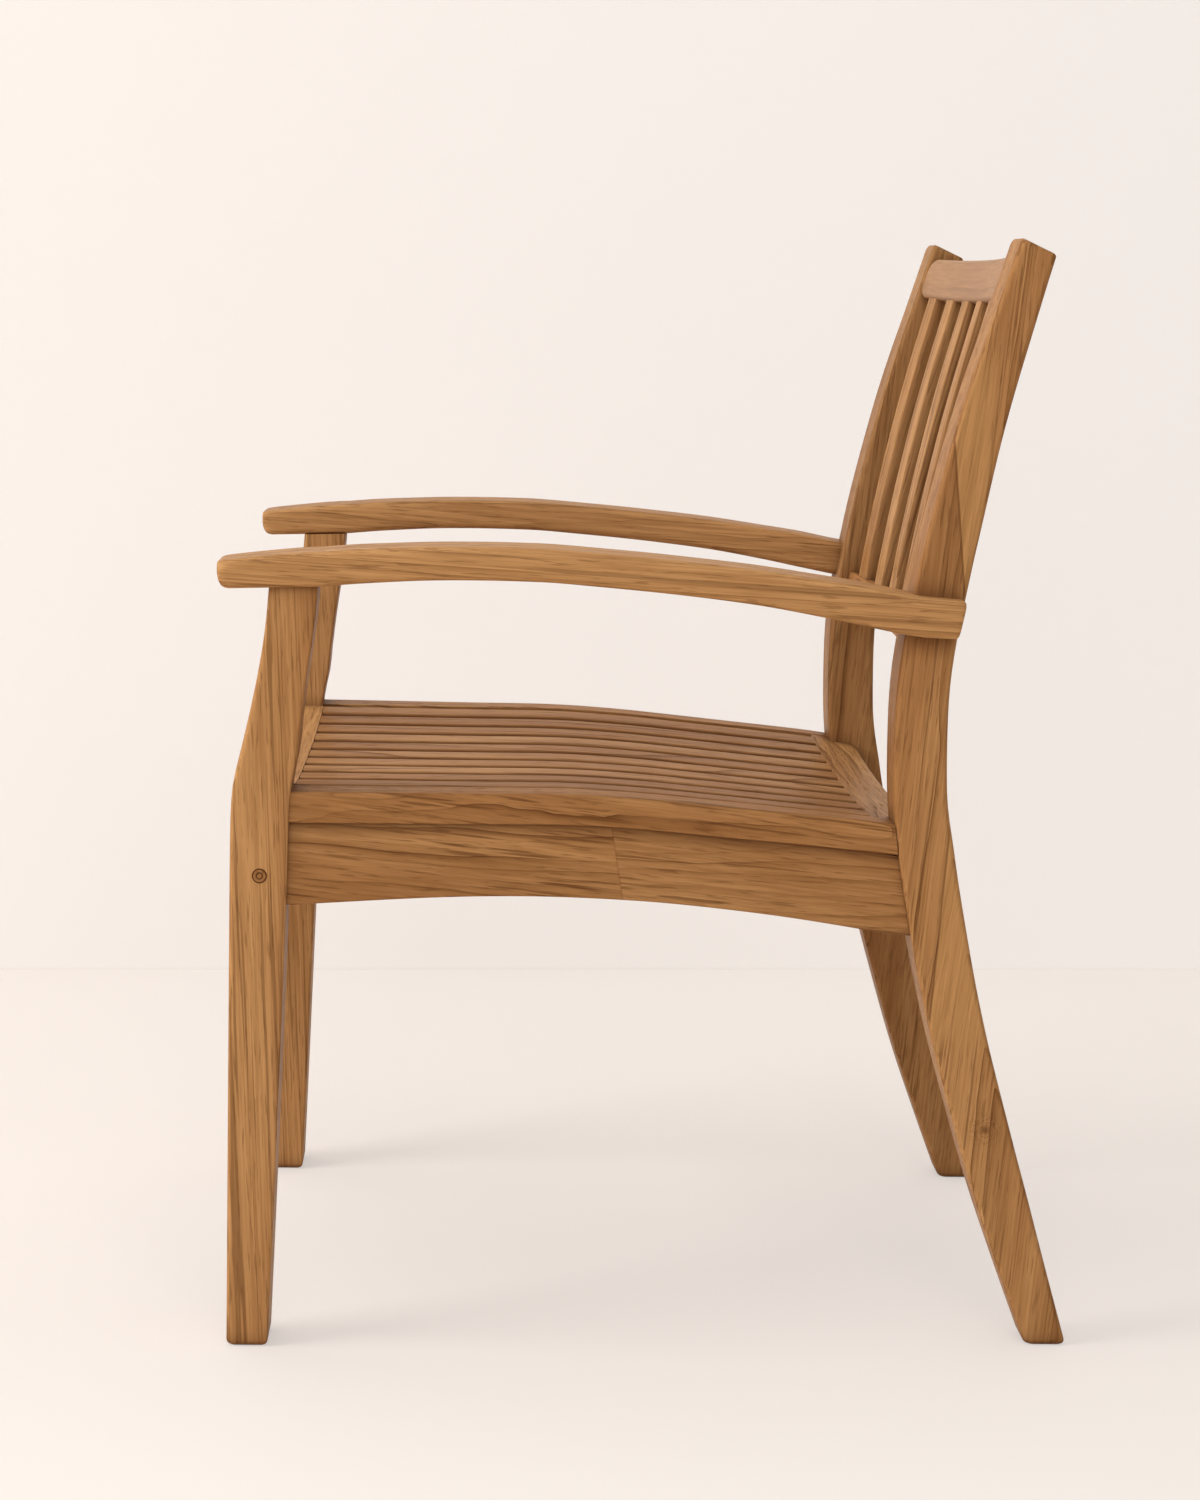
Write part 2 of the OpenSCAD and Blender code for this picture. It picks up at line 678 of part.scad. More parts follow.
color(teak) front_leg();  // left_front_leg
color(teak) flip(-1) front_leg();  // right_front_leg
color(teak) rear_post();  // left_rear_post
color(teak) flip(-1) rear_post();  // right_rear_post
color(teak) arm();  // left_arm
color(teak) flip(-1) arm();  // right_arm
color(teak) crest_rail();
color(teak) lower_back_rail();
color(teak) back_slat(1);  // back_slat_1
color(teak) back_slat(2);  // back_slat_2
color(teak) back_slat(3);  // back_slat_3
color(teak) back_slat(4);  // back_slat_4
color(teak) back_slat(5);  // back_slat_5
color(teak) seat_rail();  // left_seat_rail
color(teak) flip(-1) seat_rail();  // right_seat_rail
color(teak) seat_front_rail();
color(teak) seat_rear_board();
color(teak) seat_slat(1);  // seat_slat_1
color(teak) seat_slat(2);  // seat_slat_2
color(teak) seat_slat(3);  // seat_slat_3
color(teak) seat_slat(4);  // seat_slat_4
color(teak) seat_slat(5);  // seat_slat_5
color(teak) seat_slat(6);  // seat_slat_6
color(teak) seat_slat(7);  // seat_slat_7
color(teak) seat_slat(8);  // seat_slat_8
color(teak) seat_slat(9);  // seat_slat_9
color(teak) seat_slat(10);  // seat_slat_10
color(teak) seat_bearer();
color(teak) front_apron();
color(teak) rear_apron();
color(teak) side_apron();  // left_side_apron
color(teak) flip(-1) side_apron();  // right_side_apron
color(teak) leg_plug();  // left_leg_plug
color(teak) flip(-1) leg_plug();  // right_leg_plug
color(steel) apron_screw();  // left_apron_screw
color(steel) flip(-1) apron_screw();  // right_apron_screw
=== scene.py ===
# Slatted teak garden armchair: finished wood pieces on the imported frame.
# The outlines are in millimetres and the scene is in metres.
import math

import bmesh
import bpy
from mathutils import Matrix, Vector


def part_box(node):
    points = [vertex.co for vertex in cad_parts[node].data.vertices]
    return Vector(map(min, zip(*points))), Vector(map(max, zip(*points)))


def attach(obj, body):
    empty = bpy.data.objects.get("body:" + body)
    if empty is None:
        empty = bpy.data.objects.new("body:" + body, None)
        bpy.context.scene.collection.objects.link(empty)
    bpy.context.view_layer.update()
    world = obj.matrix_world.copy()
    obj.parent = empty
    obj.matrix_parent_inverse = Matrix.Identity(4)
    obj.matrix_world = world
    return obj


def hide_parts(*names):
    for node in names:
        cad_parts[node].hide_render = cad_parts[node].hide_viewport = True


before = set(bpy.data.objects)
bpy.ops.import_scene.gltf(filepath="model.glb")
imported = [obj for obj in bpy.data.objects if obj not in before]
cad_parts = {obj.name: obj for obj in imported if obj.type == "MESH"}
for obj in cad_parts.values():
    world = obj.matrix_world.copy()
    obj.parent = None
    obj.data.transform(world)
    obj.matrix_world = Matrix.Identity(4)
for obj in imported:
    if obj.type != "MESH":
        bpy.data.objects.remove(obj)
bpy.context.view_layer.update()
mm = 0.001


def boxOf(node):
    low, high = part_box(node)
    return low / mm, high / mm


# driving sizes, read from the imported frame
legLow, legHigh = boxOf("left_front_leg")
postLow, postHigh = boxOf("left_rear_post")
armLow, armHigh = boxOf("left_arm")
chair = {
    "legOut": legHigh.x,
    "legIn": legLow.x,
    "postOut": postHigh.x,
    "postIn": postLow.x,
    "armOut": armHigh.x,
    "tip": armLow.y,
    "back": postHigh.z,
    "seat": 446,
    "armUnder": 606,
}
print("sizes read from the frame:", {k: round(v, 1) for k, v in chair.items()})


# curves shared by the pieces
def smooth(k, line):
    # value of an outline at k, by cubic pieces whose slopes match at its points
    i = 0
    while i < len(line) - 2 and k >= line[i + 1][0]:
        i += 1

    def slope(j):
        a, b = max(j - 1, 0), min(j + 1, len(line) - 1)
        return (line[b][1] - line[a][1]) / (line[b][0] - line[a][0])

    h = line[i + 1][0] - line[i][0]
    u = (k - line[i][0]) / h
    rise = line[i][1] * (2 * u ** 3 - 3 * u * u + 1) + line[i + 1][1] * (3 * u * u - 2 * u ** 3)
    return rise + h * (slope(i) * u * (1 - u) ** 2 + slope(i + 1) * u * u * (u - 1))


def spread(a, b, step):
    n = max(1, round(abs(b - a) / step))
    return [a + (b - a) * j / n for j in range(n + 1)]


def section(w, h, radii, steps=5):
    # points round a w by h section; radii: right and left high, left and right low
    q = [max(0.2, min(r, w / 2 - 0.2, h / 2 - 0.2)) for r in radii]
    corners = [(w - q[0], h - q[0], 0, q[0]), (q[1], h - q[1], 90, q[1]),
               (q[2], q[2], 180, q[2]), (w - q[3], q[3], 270, q[3])]
    points = []
    for x, y, turn, r in corners:
        for i in range(steps + 1):
            a = math.radians(turn + 90 * i / steps)
            points.append((x + r * math.cos(a), y + r * math.sin(a)))
    return points


def ring(low, high, x0, x1, radii):
    # one ring of a lengthwise piece, between (y, z) points on its low and high edges
    dy, dz = high[0] - low[0], high[1] - low[1]
    h = math.hypot(dy, dz)
    return [(x0 + u, low[0] + dy * v / h, low[1] + dz * v / h)
            for u, v in section(x1 - x0, h, radii)]


def crossRing(x, corner, deep, high, radii, turn=0):
    # one ring of a cross piece, from its low front (y, z) corner, leaning back by turn
    c, s = math.cos(math.radians(turn)), math.sin(math.radians(turn))
    return [(x, corner[0] + u * c + v * s, corner[1] - u * s + v * c)
            for u, v in section(deep, high, radii)]


# meshes and finishing
def loft(name, rings, side=1):
    bm = bmesh.new()
    rows = [[bm.verts.new((p[0] * side * mm, p[1] * mm, p[2] * mm)) for p in r] for r in rings]
    for a, b in zip(rows, rows[1:]):
        for i in range(len(a)):
            k = (i + 1) % len(a)
            bm.faces.new((a[i], a[k], b[k], b[i]))
    bm.faces.new(rows[0])
    bm.faces.new(rows[-1])
    bmesh.ops.recalc_face_normals(bm, faces=bm.faces)
    mesh = bpy.data.meshes.new(name)
    bm.to_mesh(mesh)
    bm.free()
    piece = bpy.data.objects.new(name, mesh)
    bpy.context.collection.objects.link(piece)
    return piece


def cut(piece, cutter):
    step = piece.modifiers.new("cut", "BOOLEAN")
    step.operation = "DIFFERENCE"
    step.solver = "EXACT"
    step.object = cutter
    bake(piece)
    bpy.data.objects.remove(cutter)


def bake(piece):
    # turn the evaluated modifiers into the piece's own plain mesh
    seen = piece.evaluated_get(bpy.context.evaluated_depsgraph_get())
    mesh = bpy.data.meshes.new_from_object(seen)
    piece.modifiers.clear()
    piece.data = mesh


def finishPiece(piece, material, slot, *nodes):
    piece.data.shade_smooth()
    piece.data.set_sharp_from_angle(angle=math.radians(32))
    # flat faces stay flat beside their rounded edges
    even = piece.modifiers.new("even", "WEIGHTED_NORMAL")
    even.keep_sharp = True
    bake(piece)
    mesh = piece.data
    mesh.materials.clear()
    mesh.materials.append(material)
    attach(piece, "root")
    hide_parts(*nodes)


# teak: one grain group, placed in every piece's material
def link(tree, a, b):
    tree.links.new(a, b)


def fill(tree, node, sockets):
    # gives a node's named or numbered inputs their values or links
    for key, value in sockets.items():
        if isinstance(value, (int, float, str, tuple)):
            node.inputs[key].default_value = value
        elif value is not None:
            link(tree, value, node.inputs[key])
    return node.outputs


def mathNode(tree, op, a, b=None, c=None):
    node = tree.nodes.new("ShaderNodeMath")
    node.operation = op
    return fill(tree, node, {0: a, 1: b, 2: c})[0]


def placeOf(tree, vector):
    return fill(tree, tree.nodes.new("ShaderNodeSeparateXYZ"), {0: vector})


def spotOf(tree, x, y, z):
    return fill(tree, tree.nodes.new("ShaderNodeCombineXYZ"), {0: x, 1: y, 2: z})[0]


def sumOf(tree, a, b):
    return fill(tree, tree.nodes.new("ShaderNodeVectorMath"), {0: a, 1: b})[0]


def lengthOf(tree, vector):
    node = tree.nodes.new("ShaderNodeVectorMath")
    node.operation = "LENGTH"
    return fill(tree, node, {0: vector})["Value"]


def grainNoise(tree, vector, stretch, detail=3, rough=0.55):
    # noise stretched along the grain: stretch is its scale along, across and through the board
    scale = tree.nodes.new("ShaderNodeVectorMath")
    scale.operation = "MULTIPLY"
    drawn = fill(tree, scale, {0: vector, 1: stretch})[0]
    noise = tree.nodes.new("ShaderNodeTexNoise")
    return fill(tree, noise, {"Vector": drawn, "Scale": 1, "Detail": detail, "Roughness": rough})["Fac"]


def remap(tree, value, low, high, toLow=0.0, toHigh=1.0):
    node = tree.nodes.new("ShaderNodeMapRange")
    node.interpolation_type = "SMOOTHSTEP"
    return fill(tree, node, {"Value": value, "From Min": low, "From Max": high, "To Min": toLow,
                             "To Max": toHigh})["Result"]


def mixColor(tree, fac, a, b):
    # the colour version of the mix node has its sockets at 0, 6, 7 and 2
    node = tree.nodes.new("ShaderNodeMix")
    node.data_type = "RGBA"
    return fill(tree, node, {0: fac, 6: a, 7: b})[2]


def shade(r, g, b):
    # a colour written as it looks on screen, turned to the linear one that shaders take
    return tuple(((c / 255 + 0.055) / 1.055) ** 2.4 for c in (r, g, b)) + (1.0,)


teakSizes = {
    "light": shade(195, 148, 97),
    "middle": shade(169, 121, 75),
    "late": shade(128, 84, 44),
    "streak": shade(86, 51, 26),
    # the darkest brown: for the plug's glue line, and for painted shade
    "dirtAndShade": shade(76, 43, 20),
    "gold": shade(194, 147, 92),
    "grey": shade(160, 134, 116),
    "ringGap": 0.006,
    "shine": 0.05,
    "bump": 0.4,
    "bumpDeep": 0.0006,
    "greyMix": 0.35,
    # where on a slat's rounding the painted shade on its side begins and is full
    "slatSide": (0.2, 0.75),
    # painted shade in corners, where pieces meet: its reach in metres, its strongest share, how open a
    # fully shaded and an unshaded spot are
    "cornerFar": 0.02,
    "cornerShadeMix": 0.6,
    "cornerOpen": (0.3, 0.95),
}
# each noise: scales per metre along, across and through the board, detail, roughness
grainSizes = {
    "sway": ((2.4, 10, 10), 2),
    "ripple": ((15, 34, 34), 2),
    "uneven": ((60, 1, 1), 2),
    "fade": ((3, 50, 50), 2),
    "broad": ((1.6, 16, 16), 3),
    "band": ((1.8, 38, 38), 3),
    "vein": ((2.4, 240, 240), 2, 0.6),
    "fibre": ((11, 430, 430), 3, 0.6),
    "pore": ((32, 520, 520), 2, 0.5),
    "swayWide": 0.040,
    "rippleWide": 0.004,
    "unevenTurns": 3.0,
    "lateSharp": 2.0,
    "lineSharp": 11.0,
    # values of the noises between which each figure grows
    "strengthFrom": (0.2, 1.0),
    "fadeFrom": (0.34, 0.58),
    "toneFrom": (0.32, 0.68),
    "bandFrom": (0.5, 0.74),
    "veinFrom": (0.58, 0.65),
    "fibreFrom": (0.3, 0.7),
    "poreFrom": (0.57, 0.68),
    "roughness": (0.44, 0.66),
    # how strongly each one colours the wood
    "bandMix": 0.5,
    "lateMix": 0.62,
    "veinMix": 0.5,
    "fibreMix": 0.45,
    "poreMix": 0.38,
}


def teakGroup():
    g = grainSizes
    tree = bpy.data.node_groups.new("teakGrain", "ShaderNodeTree")
    make = tree.interface.new_socket
    make("Vector", in_out="INPUT", socket_type="NodeSocketVector")
    for name, value in (("Seed", 0.0), ("Ring Gap", teakSizes["ringGap"]), ("Pith Across", 0.05),
                        ("Pith Deep", 0.05), ("Rings", 1.0), ("Streaks", 1.0), ("Pores", 1.0),
                        ("Tone", 0.0), ("Shade", 0.0)):
        make(name, in_out="INPUT", socket_type="NodeSocketFloat").default_value = value
    make("Color", in_out="OUTPUT", socket_type="NodeSocketColor")
    make("Roughness", in_out="OUTPUT", socket_type="NodeSocketFloat")
    make("Height", in_out="OUTPUT", socket_type="NodeSocketFloat")
    start = tree.nodes.new("NodeGroupInput").outputs
    end = tree.nodes.new("NodeGroupOutput").inputs

    def times(a, b):
        return mathNode(tree, "MULTIPLY", a, b)

    def plus(a, b):
        return mathNode(tree, "ADD", a, b)

    # the seed moves each piece to its own part of the wood
    seed = start["Seed"]
    shift = spotOf(tree, times(seed, 1.37), times(seed, 0.61), times(seed, 0.83))
    at = sumOf(tree, start["Vector"], shift)
    place = placeOf(tree, start["Vector"])

    # growth rings: uneven shells round the pith, each with its own strength
    sway = times(plus(grainNoise(tree, at, *g["sway"]), -0.5), g["swayWide"])
    ripple = times(plus(grainNoise(tree, at, *g["ripple"]), -0.5), g["rippleWide"])
    across = plus(plus(plus(place[1], start["Pith Across"]), sway), ripple)
    deep = plus(place[2], start["Pith Deep"])
    radius = mathNode(tree, "SQRT", plus(times(across, across), times(deep, deep)))
    uneven = times(grainNoise(tree, spotOf(tree, radius, seed, seed), *g["uneven"]), g["unevenTurns"])
    turns = plus(mathNode(tree, "DIVIDE", radius, start["Ring Gap"]), uneven)
    saw = mathNode(tree, "FRACT", turns)
    lot = tree.nodes.new("ShaderNodeTexWhiteNoise")
    lot.noise_dimensions = "1D"
    drawn = fill(tree, lot, {"W": plus(mathNode(tree, "FLOOR", turns), times(seed, 31.7))})["Value"]
    strength = remap(tree, drawn, *g["strengthFrom"], 0.12, 1.0)
    fade = remap(tree, grainNoise(tree, at, *g["fade"]), *g["fadeFrom"], 0.25, 1.0)
    force = times(times(strength, fade), start["Rings"])
    lateWood = times(mathNode(tree, "POWER", saw, g["lateSharp"]), force)
    ringLine = times(mathNode(tree, "POWER", saw, g["lineSharp"]), force)

    # broad tone, soft bands, long thin veins, fibres and pores
    broad = remap(tree, plus(grainNoise(tree, at, *g["broad"]), start["Tone"]), *g["toneFrom"])
    band = times(remap(tree, grainNoise(tree, at, *g["band"]), *g["bandFrom"]), start["Streaks"])
    vein = times(remap(tree, grainNoise(tree, at, *g["vein"]), *g["veinFrom"]), start["Streaks"])
    fibre = grainNoise(tree, at, *g["fibre"])
    pore = times(remap(tree, grainNoise(tree, at, *g["pore"]), *g["poreFrom"]), start["Pores"])

    color = mixColor(tree, broad, teakSizes["light"], teakSizes["middle"])
    color = mixColor(tree, times(band, g["bandMix"]), color, teakSizes["late"])
    color = mixColor(tree, times(lateWood, g["lateMix"]), color, teakSizes["late"])
    color = mixColor(tree, ringLine, color, teakSizes["streak"])
    color = mixColor(tree, times(vein, g["veinMix"]), color, teakSizes["streak"])
    threads = remap(tree, fibre, *g["fibreFrom"], 0.0, g["fibreMix"])
    color = mixColor(tree, threads, color, teakSizes["late"])
    color = mixColor(tree, times(pore, g["poreMix"]), color, teakSizes["streak"])
    # Shade darkens the whole piece; on the far side's posts and arms this is painted shade
    color = mixColor(tree, start["Shade"], color, teakSizes["dirtAndShade"])
    link(tree, color, end["Color"])
    link(tree, remap(tree, plus(ringLine, pore), 0, 1.2, *g["roughness"]), end["Roughness"])
    worn = plus(times(pore, 0.5), times(ringLine, 0.4))
    link(tree, mathNode(tree, "SUBTRACT", times(fibre, 0.5), worn), end["Height"])
    return tree


grainTree = teakGroup()


def lengthwise(tilt):
    # turns a piece's axes so that the grain runs front to back, falling to the rear by tilt
    return (math.radians(tilt), 0, math.radians(-90))


def upright(tilt):
    # turns a piece's axes so that the grain runs up, leaning to the rear by tilt
    return (math.radians(tilt), math.radians(90), 0)


crosswise = (0, 0, 0)


def attribute(tree, name):
    node = tree.nodes.new("ShaderNodeAttribute")
    node.attribute_name = name
    return node.outputs["Fac"]


def grainNode(tree, coords, turn, seed, look):
    turned = fill(tree, tree.nodes.new("ShaderNodeMapping"), {"Vector": coords, "Rotation": turn})[0]
    # repeated slats carry a number, which moves each one to its own part of the wood
    shift = mathNode(tree, "MULTIPLY_ADD", attribute(tree, "slatNumber"), 2.17, seed)
    grain = tree.nodes.new("ShaderNodeGroup")
    grain.node_tree = grainTree
    return fill(tree, grain, {"Vector": turned, "Seed": shift, **look})


def freshMaterial(name):
    material = bpy.data.materials.new(name)
    material.use_nodes = True
    tree = material.node_tree
    coords = tree.nodes.new("ShaderNodeTexCoord").outputs["Object"]
    return material, tree, tree.nodes["Principled BSDF"], coords


def teak(name, turn, seed, look, marks=None, sideShade=0.0):
    t = teakSizes
    material, tree, shader, coords = freshMaterial(name)
    grain = grainNode(tree, coords, turn, seed, look)
    color = grain["Color"]
    if marks:
        color = marks(tree, coords, color)
    # painted shade: the sides of a slat are darker than its face, where shade falls between the slats
    sides = remap(tree, attribute(tree, "slatEdge"), *t["slatSide"], 0.0, sideShade)
    color = mixColor(tree, sides, color, t["dirtAndShade"])
    # and painted shade darkens the wood in the corners where pieces meet
    corner = tree.nodes.new("ShaderNodeAmbientOcclusion")
    corner.samples = 6
    openness = fill(tree, corner, {"Distance": t["cornerFar"]})["AO"]
    paintedCornerShade = remap(tree, openness, *t["cornerOpen"], t["cornerShadeMix"], 0.0)
    relief = fill(tree, tree.nodes.new("ShaderNodeBump"),
                  {"Strength": t["bump"], "Distance": t["bumpDeep"], "Height": grain["Height"]})[0]
    fill(tree, shader, {"Base Color": mixColor(tree, paintedCornerShade, color, t["dirtAndShade"]), "Normal": relief,
                        "Roughness": grain["Roughness"], "Specular IOR Level": t["shine"]})
    return material


# figure marks and painted shade, each placed on the side of a piece by (y, z) points in millimetres
def behindLine(tree, coords, low, high):
    # millimetres behind the line through two (y, z) points, negative in front of it
    dy, dz = high[0] - low[0], high[1] - low[1]
    long = math.hypot(dy, dz)
    place = placeOf(tree, coords)
    y = mathNode(tree, "MULTIPLY", place[1], dz / long / mm)
    z = mathNode(tree, "MULTIPLY", place[2], -dy / long / mm)
    offset = (low[1] * dy - low[0] * dz) / long
    return mathNode(tree, "ADD", mathNode(tree, "ADD", y, z), offset)


def both(tree, *masks):
    total = masks[0]
    for mask in masks[1:]:
        total = mathNode(tree, "MULTIPLY", total, mask)
    return total


def heights(tree, coords, low, high, soft):
    z = placeOf(tree, coords)[2]
    rise = remap(tree, z, (low - soft) * mm, (low + soft) * mm)
    fall = remap(tree, z, (high - soft) * mm, (high + soft) * mm, 1.0, 0.0)
    return both(tree, rise, fall)


def fromSpot(tree, coords, y, z):
    # millimetres from a point on the side of a piece
    flat = tree.nodes.new("ShaderNodeVectorMath")
    flat.operation = "MULTIPLY_ADD"
    return lengthOf(tree, fill(tree, flat, {0: coords, 1: (0, 1 / mm, 1 / mm), 2: (0, -y, -z)})[0])


# a stretch of height is given by its low end, its high end and how soft both are
# painted shade on the far leg over the seat: its heights, and how strongly it darkens
legShadeSizes = {"overSeat": (460, 640, 25), "shadeMix": 0.13}
postFigure = {
    # how far inside the outer face its marks begin and are full
    "face": (1.6, 0.4),
    # the golden wedge over the arm, between its front line and its rear line
    "wedge": ((237.7, 599.8), (224.6, 728.4)),
    "wedgeBack": ((252, 640), (256, 780)),
    "wedgeHigh": (560, 785, 40),
    "golden": {"Tone": -0.25, "Pith Across": -0.1, "Pith Deep": 0.5, "Rings": 0.5},
    "goldShare": 0.45,
    "goldMix": 0.7,
    # the darker wood before the wedge
    "darkHigh": (560, 760, 8),
    "darkMix": 0.16,
    # the sapwood under the seat
    "sap": ((221.9, 268), (232.1, 421.1)),
    "sapHigh": (250, 436, 18),
    "lineEdge": (-0.5, 0.8),
    "seamHigh": (590, 730, 6),
    "seamMix": 0.55,
    # the knot: its middle, the width of a whorl and where the whorls fade
    "knot": (269.3, 178.6),
    "whorlGap": 3.4,
    "whorlFade": (5, 19),
    "core": (0.8, 6),
}
apronFigureAndShade = {
    "joint": ((-25, 365.3), (-34, 417.1)),
    "jointMix": 0.25,
    "other": {"Tone": 0.08, "Pith Across": -0.1, "Pith Deep": -0.2, "Streaks": 1.2, "Shade": 0.1},
    # the board's lower edge, and how far and how strongly painted shade darkens the apron under it
    "boardFront": ((-290, 421.5), (-70, 421.5)),
    "boardRear": ((-40, 420.3), (172, 402)),
    "underShadeReach": 12.0,
    "underShadeMix": 0.5,
}


def legPaintedShade(tree, coords, color):
    # painted shade: the far leg is darker over the seat
    f = legShadeSizes
    far = remap(tree, placeOf(tree, coords)[0], -0.1, 0.1, 1.0, 0.0)
    over = both(tree, far, heights(tree, coords, *f["overSeat"]), f["shadeMix"])
    return mixColor(tree, over, color, teakSizes["dirtAndShade"])


def postMarks(tree, coords, color):
    # outer faces: a wedge of golden wood over the arm, sapwood under the seat, and a knot
    f = postFigure
    side = mathNode(tree, "ABSOLUTE", placeOf(tree, coords)[0])
    outer = remap(tree, side, *[(chair["postOut"] - inset) * mm for inset in f["face"]])
    golden = grainNode(tree, coords, upright(9), 84.0, f["golden"])
    gold = mixColor(tree, f["goldShare"], golden["Color"], teakSizes["gold"])
    wedge = behindLine(tree, coords, *f["wedge"])
    back = behindLine(tree, coords, *f["wedgeBack"])
    zone = both(tree, outer, remap(tree, wedge, *f["lineEdge"]), remap(tree, back, -12, 6, 1.0, 0.0),
                heights(tree, coords, *f["wedgeHigh"]), f["goldMix"])
    color = mixColor(tree, zone, color, gold)
    before = both(tree, outer, remap(tree, wedge, -2, 0, 1.0, 0.0),
                  heights(tree, coords, *f["darkHigh"]), f["darkMix"])
    color = mixColor(tree, before, color, teakSizes["streak"])
    sap = behindLine(tree, coords, *f["sap"])
    under = heights(tree, coords, *f["sapHigh"])
    pale = both(tree, outer, remap(tree, sap, *f["lineEdge"]), under, f["goldMix"])
    color = mixColor(tree, pale, color, gold)
    # a fine dark seam along both lines
    for line, reach in ((wedge, heights(tree, coords, *f["seamHigh"])), (sap, under)):
        seam = both(tree, outer, remap(tree, line, -2.0, -0.4), remap(tree, line, 0.1, 0.9, 1.0, 0.0),
                    reach, f["seamMix"])
        color = mixColor(tree, seam, color, teakSizes["streak"])
    far = fromSpot(tree, coords, *f["knot"])
    uneven = mathNode(tree, "MULTIPLY", grainNoise(tree, coords, (60, 60, 60), 3), 9)
    turns = mathNode(tree, "ADD", mathNode(tree, "DIVIDE", far, f["whorlGap"]), uneven)
    whorl = both(tree, mathNode(tree, "POWER", mathNode(tree, "FRACT", turns), 2),
                 remap(tree, far, *f["whorlFade"], 0.6, 0.0))
    knot = mathNode(tree, "MAXIMUM", remap(tree, far, *f["core"], 0.7, 0.0), whorl)
    return mixColor(tree, both(tree, outer, knot), color, teakSizes["streak"])


def apronMarksAndShade(tree, coords, color):
    # the outer face changes figure at a joint line
    f = apronFigureAndShade
    line = behindLine(tree, coords, *f["joint"])
    other = grainNode(tree, coords, lengthwise(6), 91.0, f["other"])
    color = mixColor(tree, remap(tree, line, -0.4, 0.4), color, other["Color"])
    seam = both(tree, remap(tree, line, -1.0, -0.2), remap(tree, line, 0.2, 1.0, 1.0, 0.0),
                f["jointMix"])
    color = mixColor(tree, seam, color, teakSizes["streak"])
    # and painted shade darkens it close under the overhanging board
    under = mathNode(tree, "MINIMUM", behindLine(tree, coords, *f["boardFront"]),
                     behindLine(tree, coords, *f["boardRear"]))
    dark = remap(tree, under, 0.0, f["underShadeReach"], f["underShadeMix"], 0.0)
    return mixColor(tree, dark, color, teakSizes["dirtAndShade"])


def plugMarks(tree, coords, color):
    # a dark glue line round the plug and a dark ring in it
    s = plugSizes
    radius = fromSpot(tree, coords, screwY(), s["z"])
    inner = both(tree, remap(tree, radius, *s["darkFrom"]), remap(tree, radius, *s["darkTo"], 1.0, 0.0))
    dark = mathNode(tree, "MAXIMUM", remap(tree, radius, *s["rim"]), inner)
    return mixColor(tree, both(tree, dark, s["darkMix"]), color, teakSizes["dirtAndShade"])


def crestMarks(tree, coords, color):
    # the crest rail's colour is drawn towards a grey tan; its grain is set smoother in its look
    return mixColor(tree, teakSizes["greyMix"], color, teakSizes["grey"])


def steel():
    material, tree, shader, coords = freshMaterial("screwSteel")
    brushed = remap(tree, grainNoise(tree, coords, (900, 60, 60), 2), 0.3, 0.7, 0.25, 0.42)
    fill(tree, shader, {"Base Color": shade(196, 196, 192), "Metallic": 1.0, "Roughness": brushed})
    return material


# outlines of the long members
legSizes = {
    "front": [[0, -332.5], [400, -331.5], [440, -330.5], [456, -328.5], [486, -321.5],
              [518, -314.5], [550, -308.5], [580, -304.5], [606, -302.5]],
    "deep": [[0, 32.7], [140, 37.6], [360, 44.4], [470, 45], [503, 41], [542, 38], [606, 38]],
    "round": 4.5,
    "foot": 5,
    "step": 12,
}
postSizes = {
    "front": [[0, 308.5], [56, 287], [123, 262.5], [190, 241.5], [256, 222.5], [325, 206.5],
              [420, 189.5], [490, 186], [549, 188], [626, 200.5], [682, 212.5], [757, 231.5],
              [832, 255], [882, 270.5]],
    "deep": [[0, 33.6], [56, 38.5], [138, 44], [400, 45], [450, 42.5], [650, 41.5], [712, 39],
             [774, 36.5], [835, 33.2], [882, 31.5]],
    "round": 4.5,
    "foot": 5,
    "taper": 10,
    "taperEnd": 325,
    "bodyEnd": 800,
    # front drop, rear drop, front inset, rear inset
    "crown": [[60, 62, 0, 0], [38, 42, 0, 0], [25, 31, 0, 0], [14, 22, 0, 0], [5, 14, 0, 0],
              [3.2, 12.7, 0.15, 0.4], [1.8, 11.8, 0.5, 1.2], [0.7, 11, 1, 2.3], [0, 10.5, 1.8, 4]],
    # the crown's sides draw in by this share of its rear inset
    "crownSide": 0.6,
    "step": 12,
}
armSizes = {
    "low": [[-262, 606.6], [-232, 609.5], [-172, 613], [-95, 613], [-48, 610], [12, 605],
            [74, 598], [122, 590], [163, 582], [200, 575.5], [237, 574]],
    "deep": [[-342, 21.5], [-302, 25], [-272, 26.8], [-232, 26.7], [-190, 26], [15, 26.5],
             [80, 27.5], [125, 29], [165, 31], [237, 29.5]],
    "level": -280,
    "tilt": 0.035,
    "wide": 60,
    "lap": 26,
    "round": 6,
    # depth, low inset, high inset
    "nose": [[0, 10, 1.4], [0.5, 7.4, 1.1], [1.5, 4.8, 0.7], [3.2, 2.2, 0.3], [5.4, 0.8, 0.1],
             [9, 0, 0]],
    # the nose's sides draw in by this share of its low inset
    "noseSide": 0.4,
    # depth, inset of both faces
    "tail": [[6, 0], [2.4, 0.15], [1.2, 0.5], [0.4, 1.2], [0, 2.2]],
    "bodyEnd": 205,
    "tailAt": 230,
    "short": 3,
    "step": 10,
}
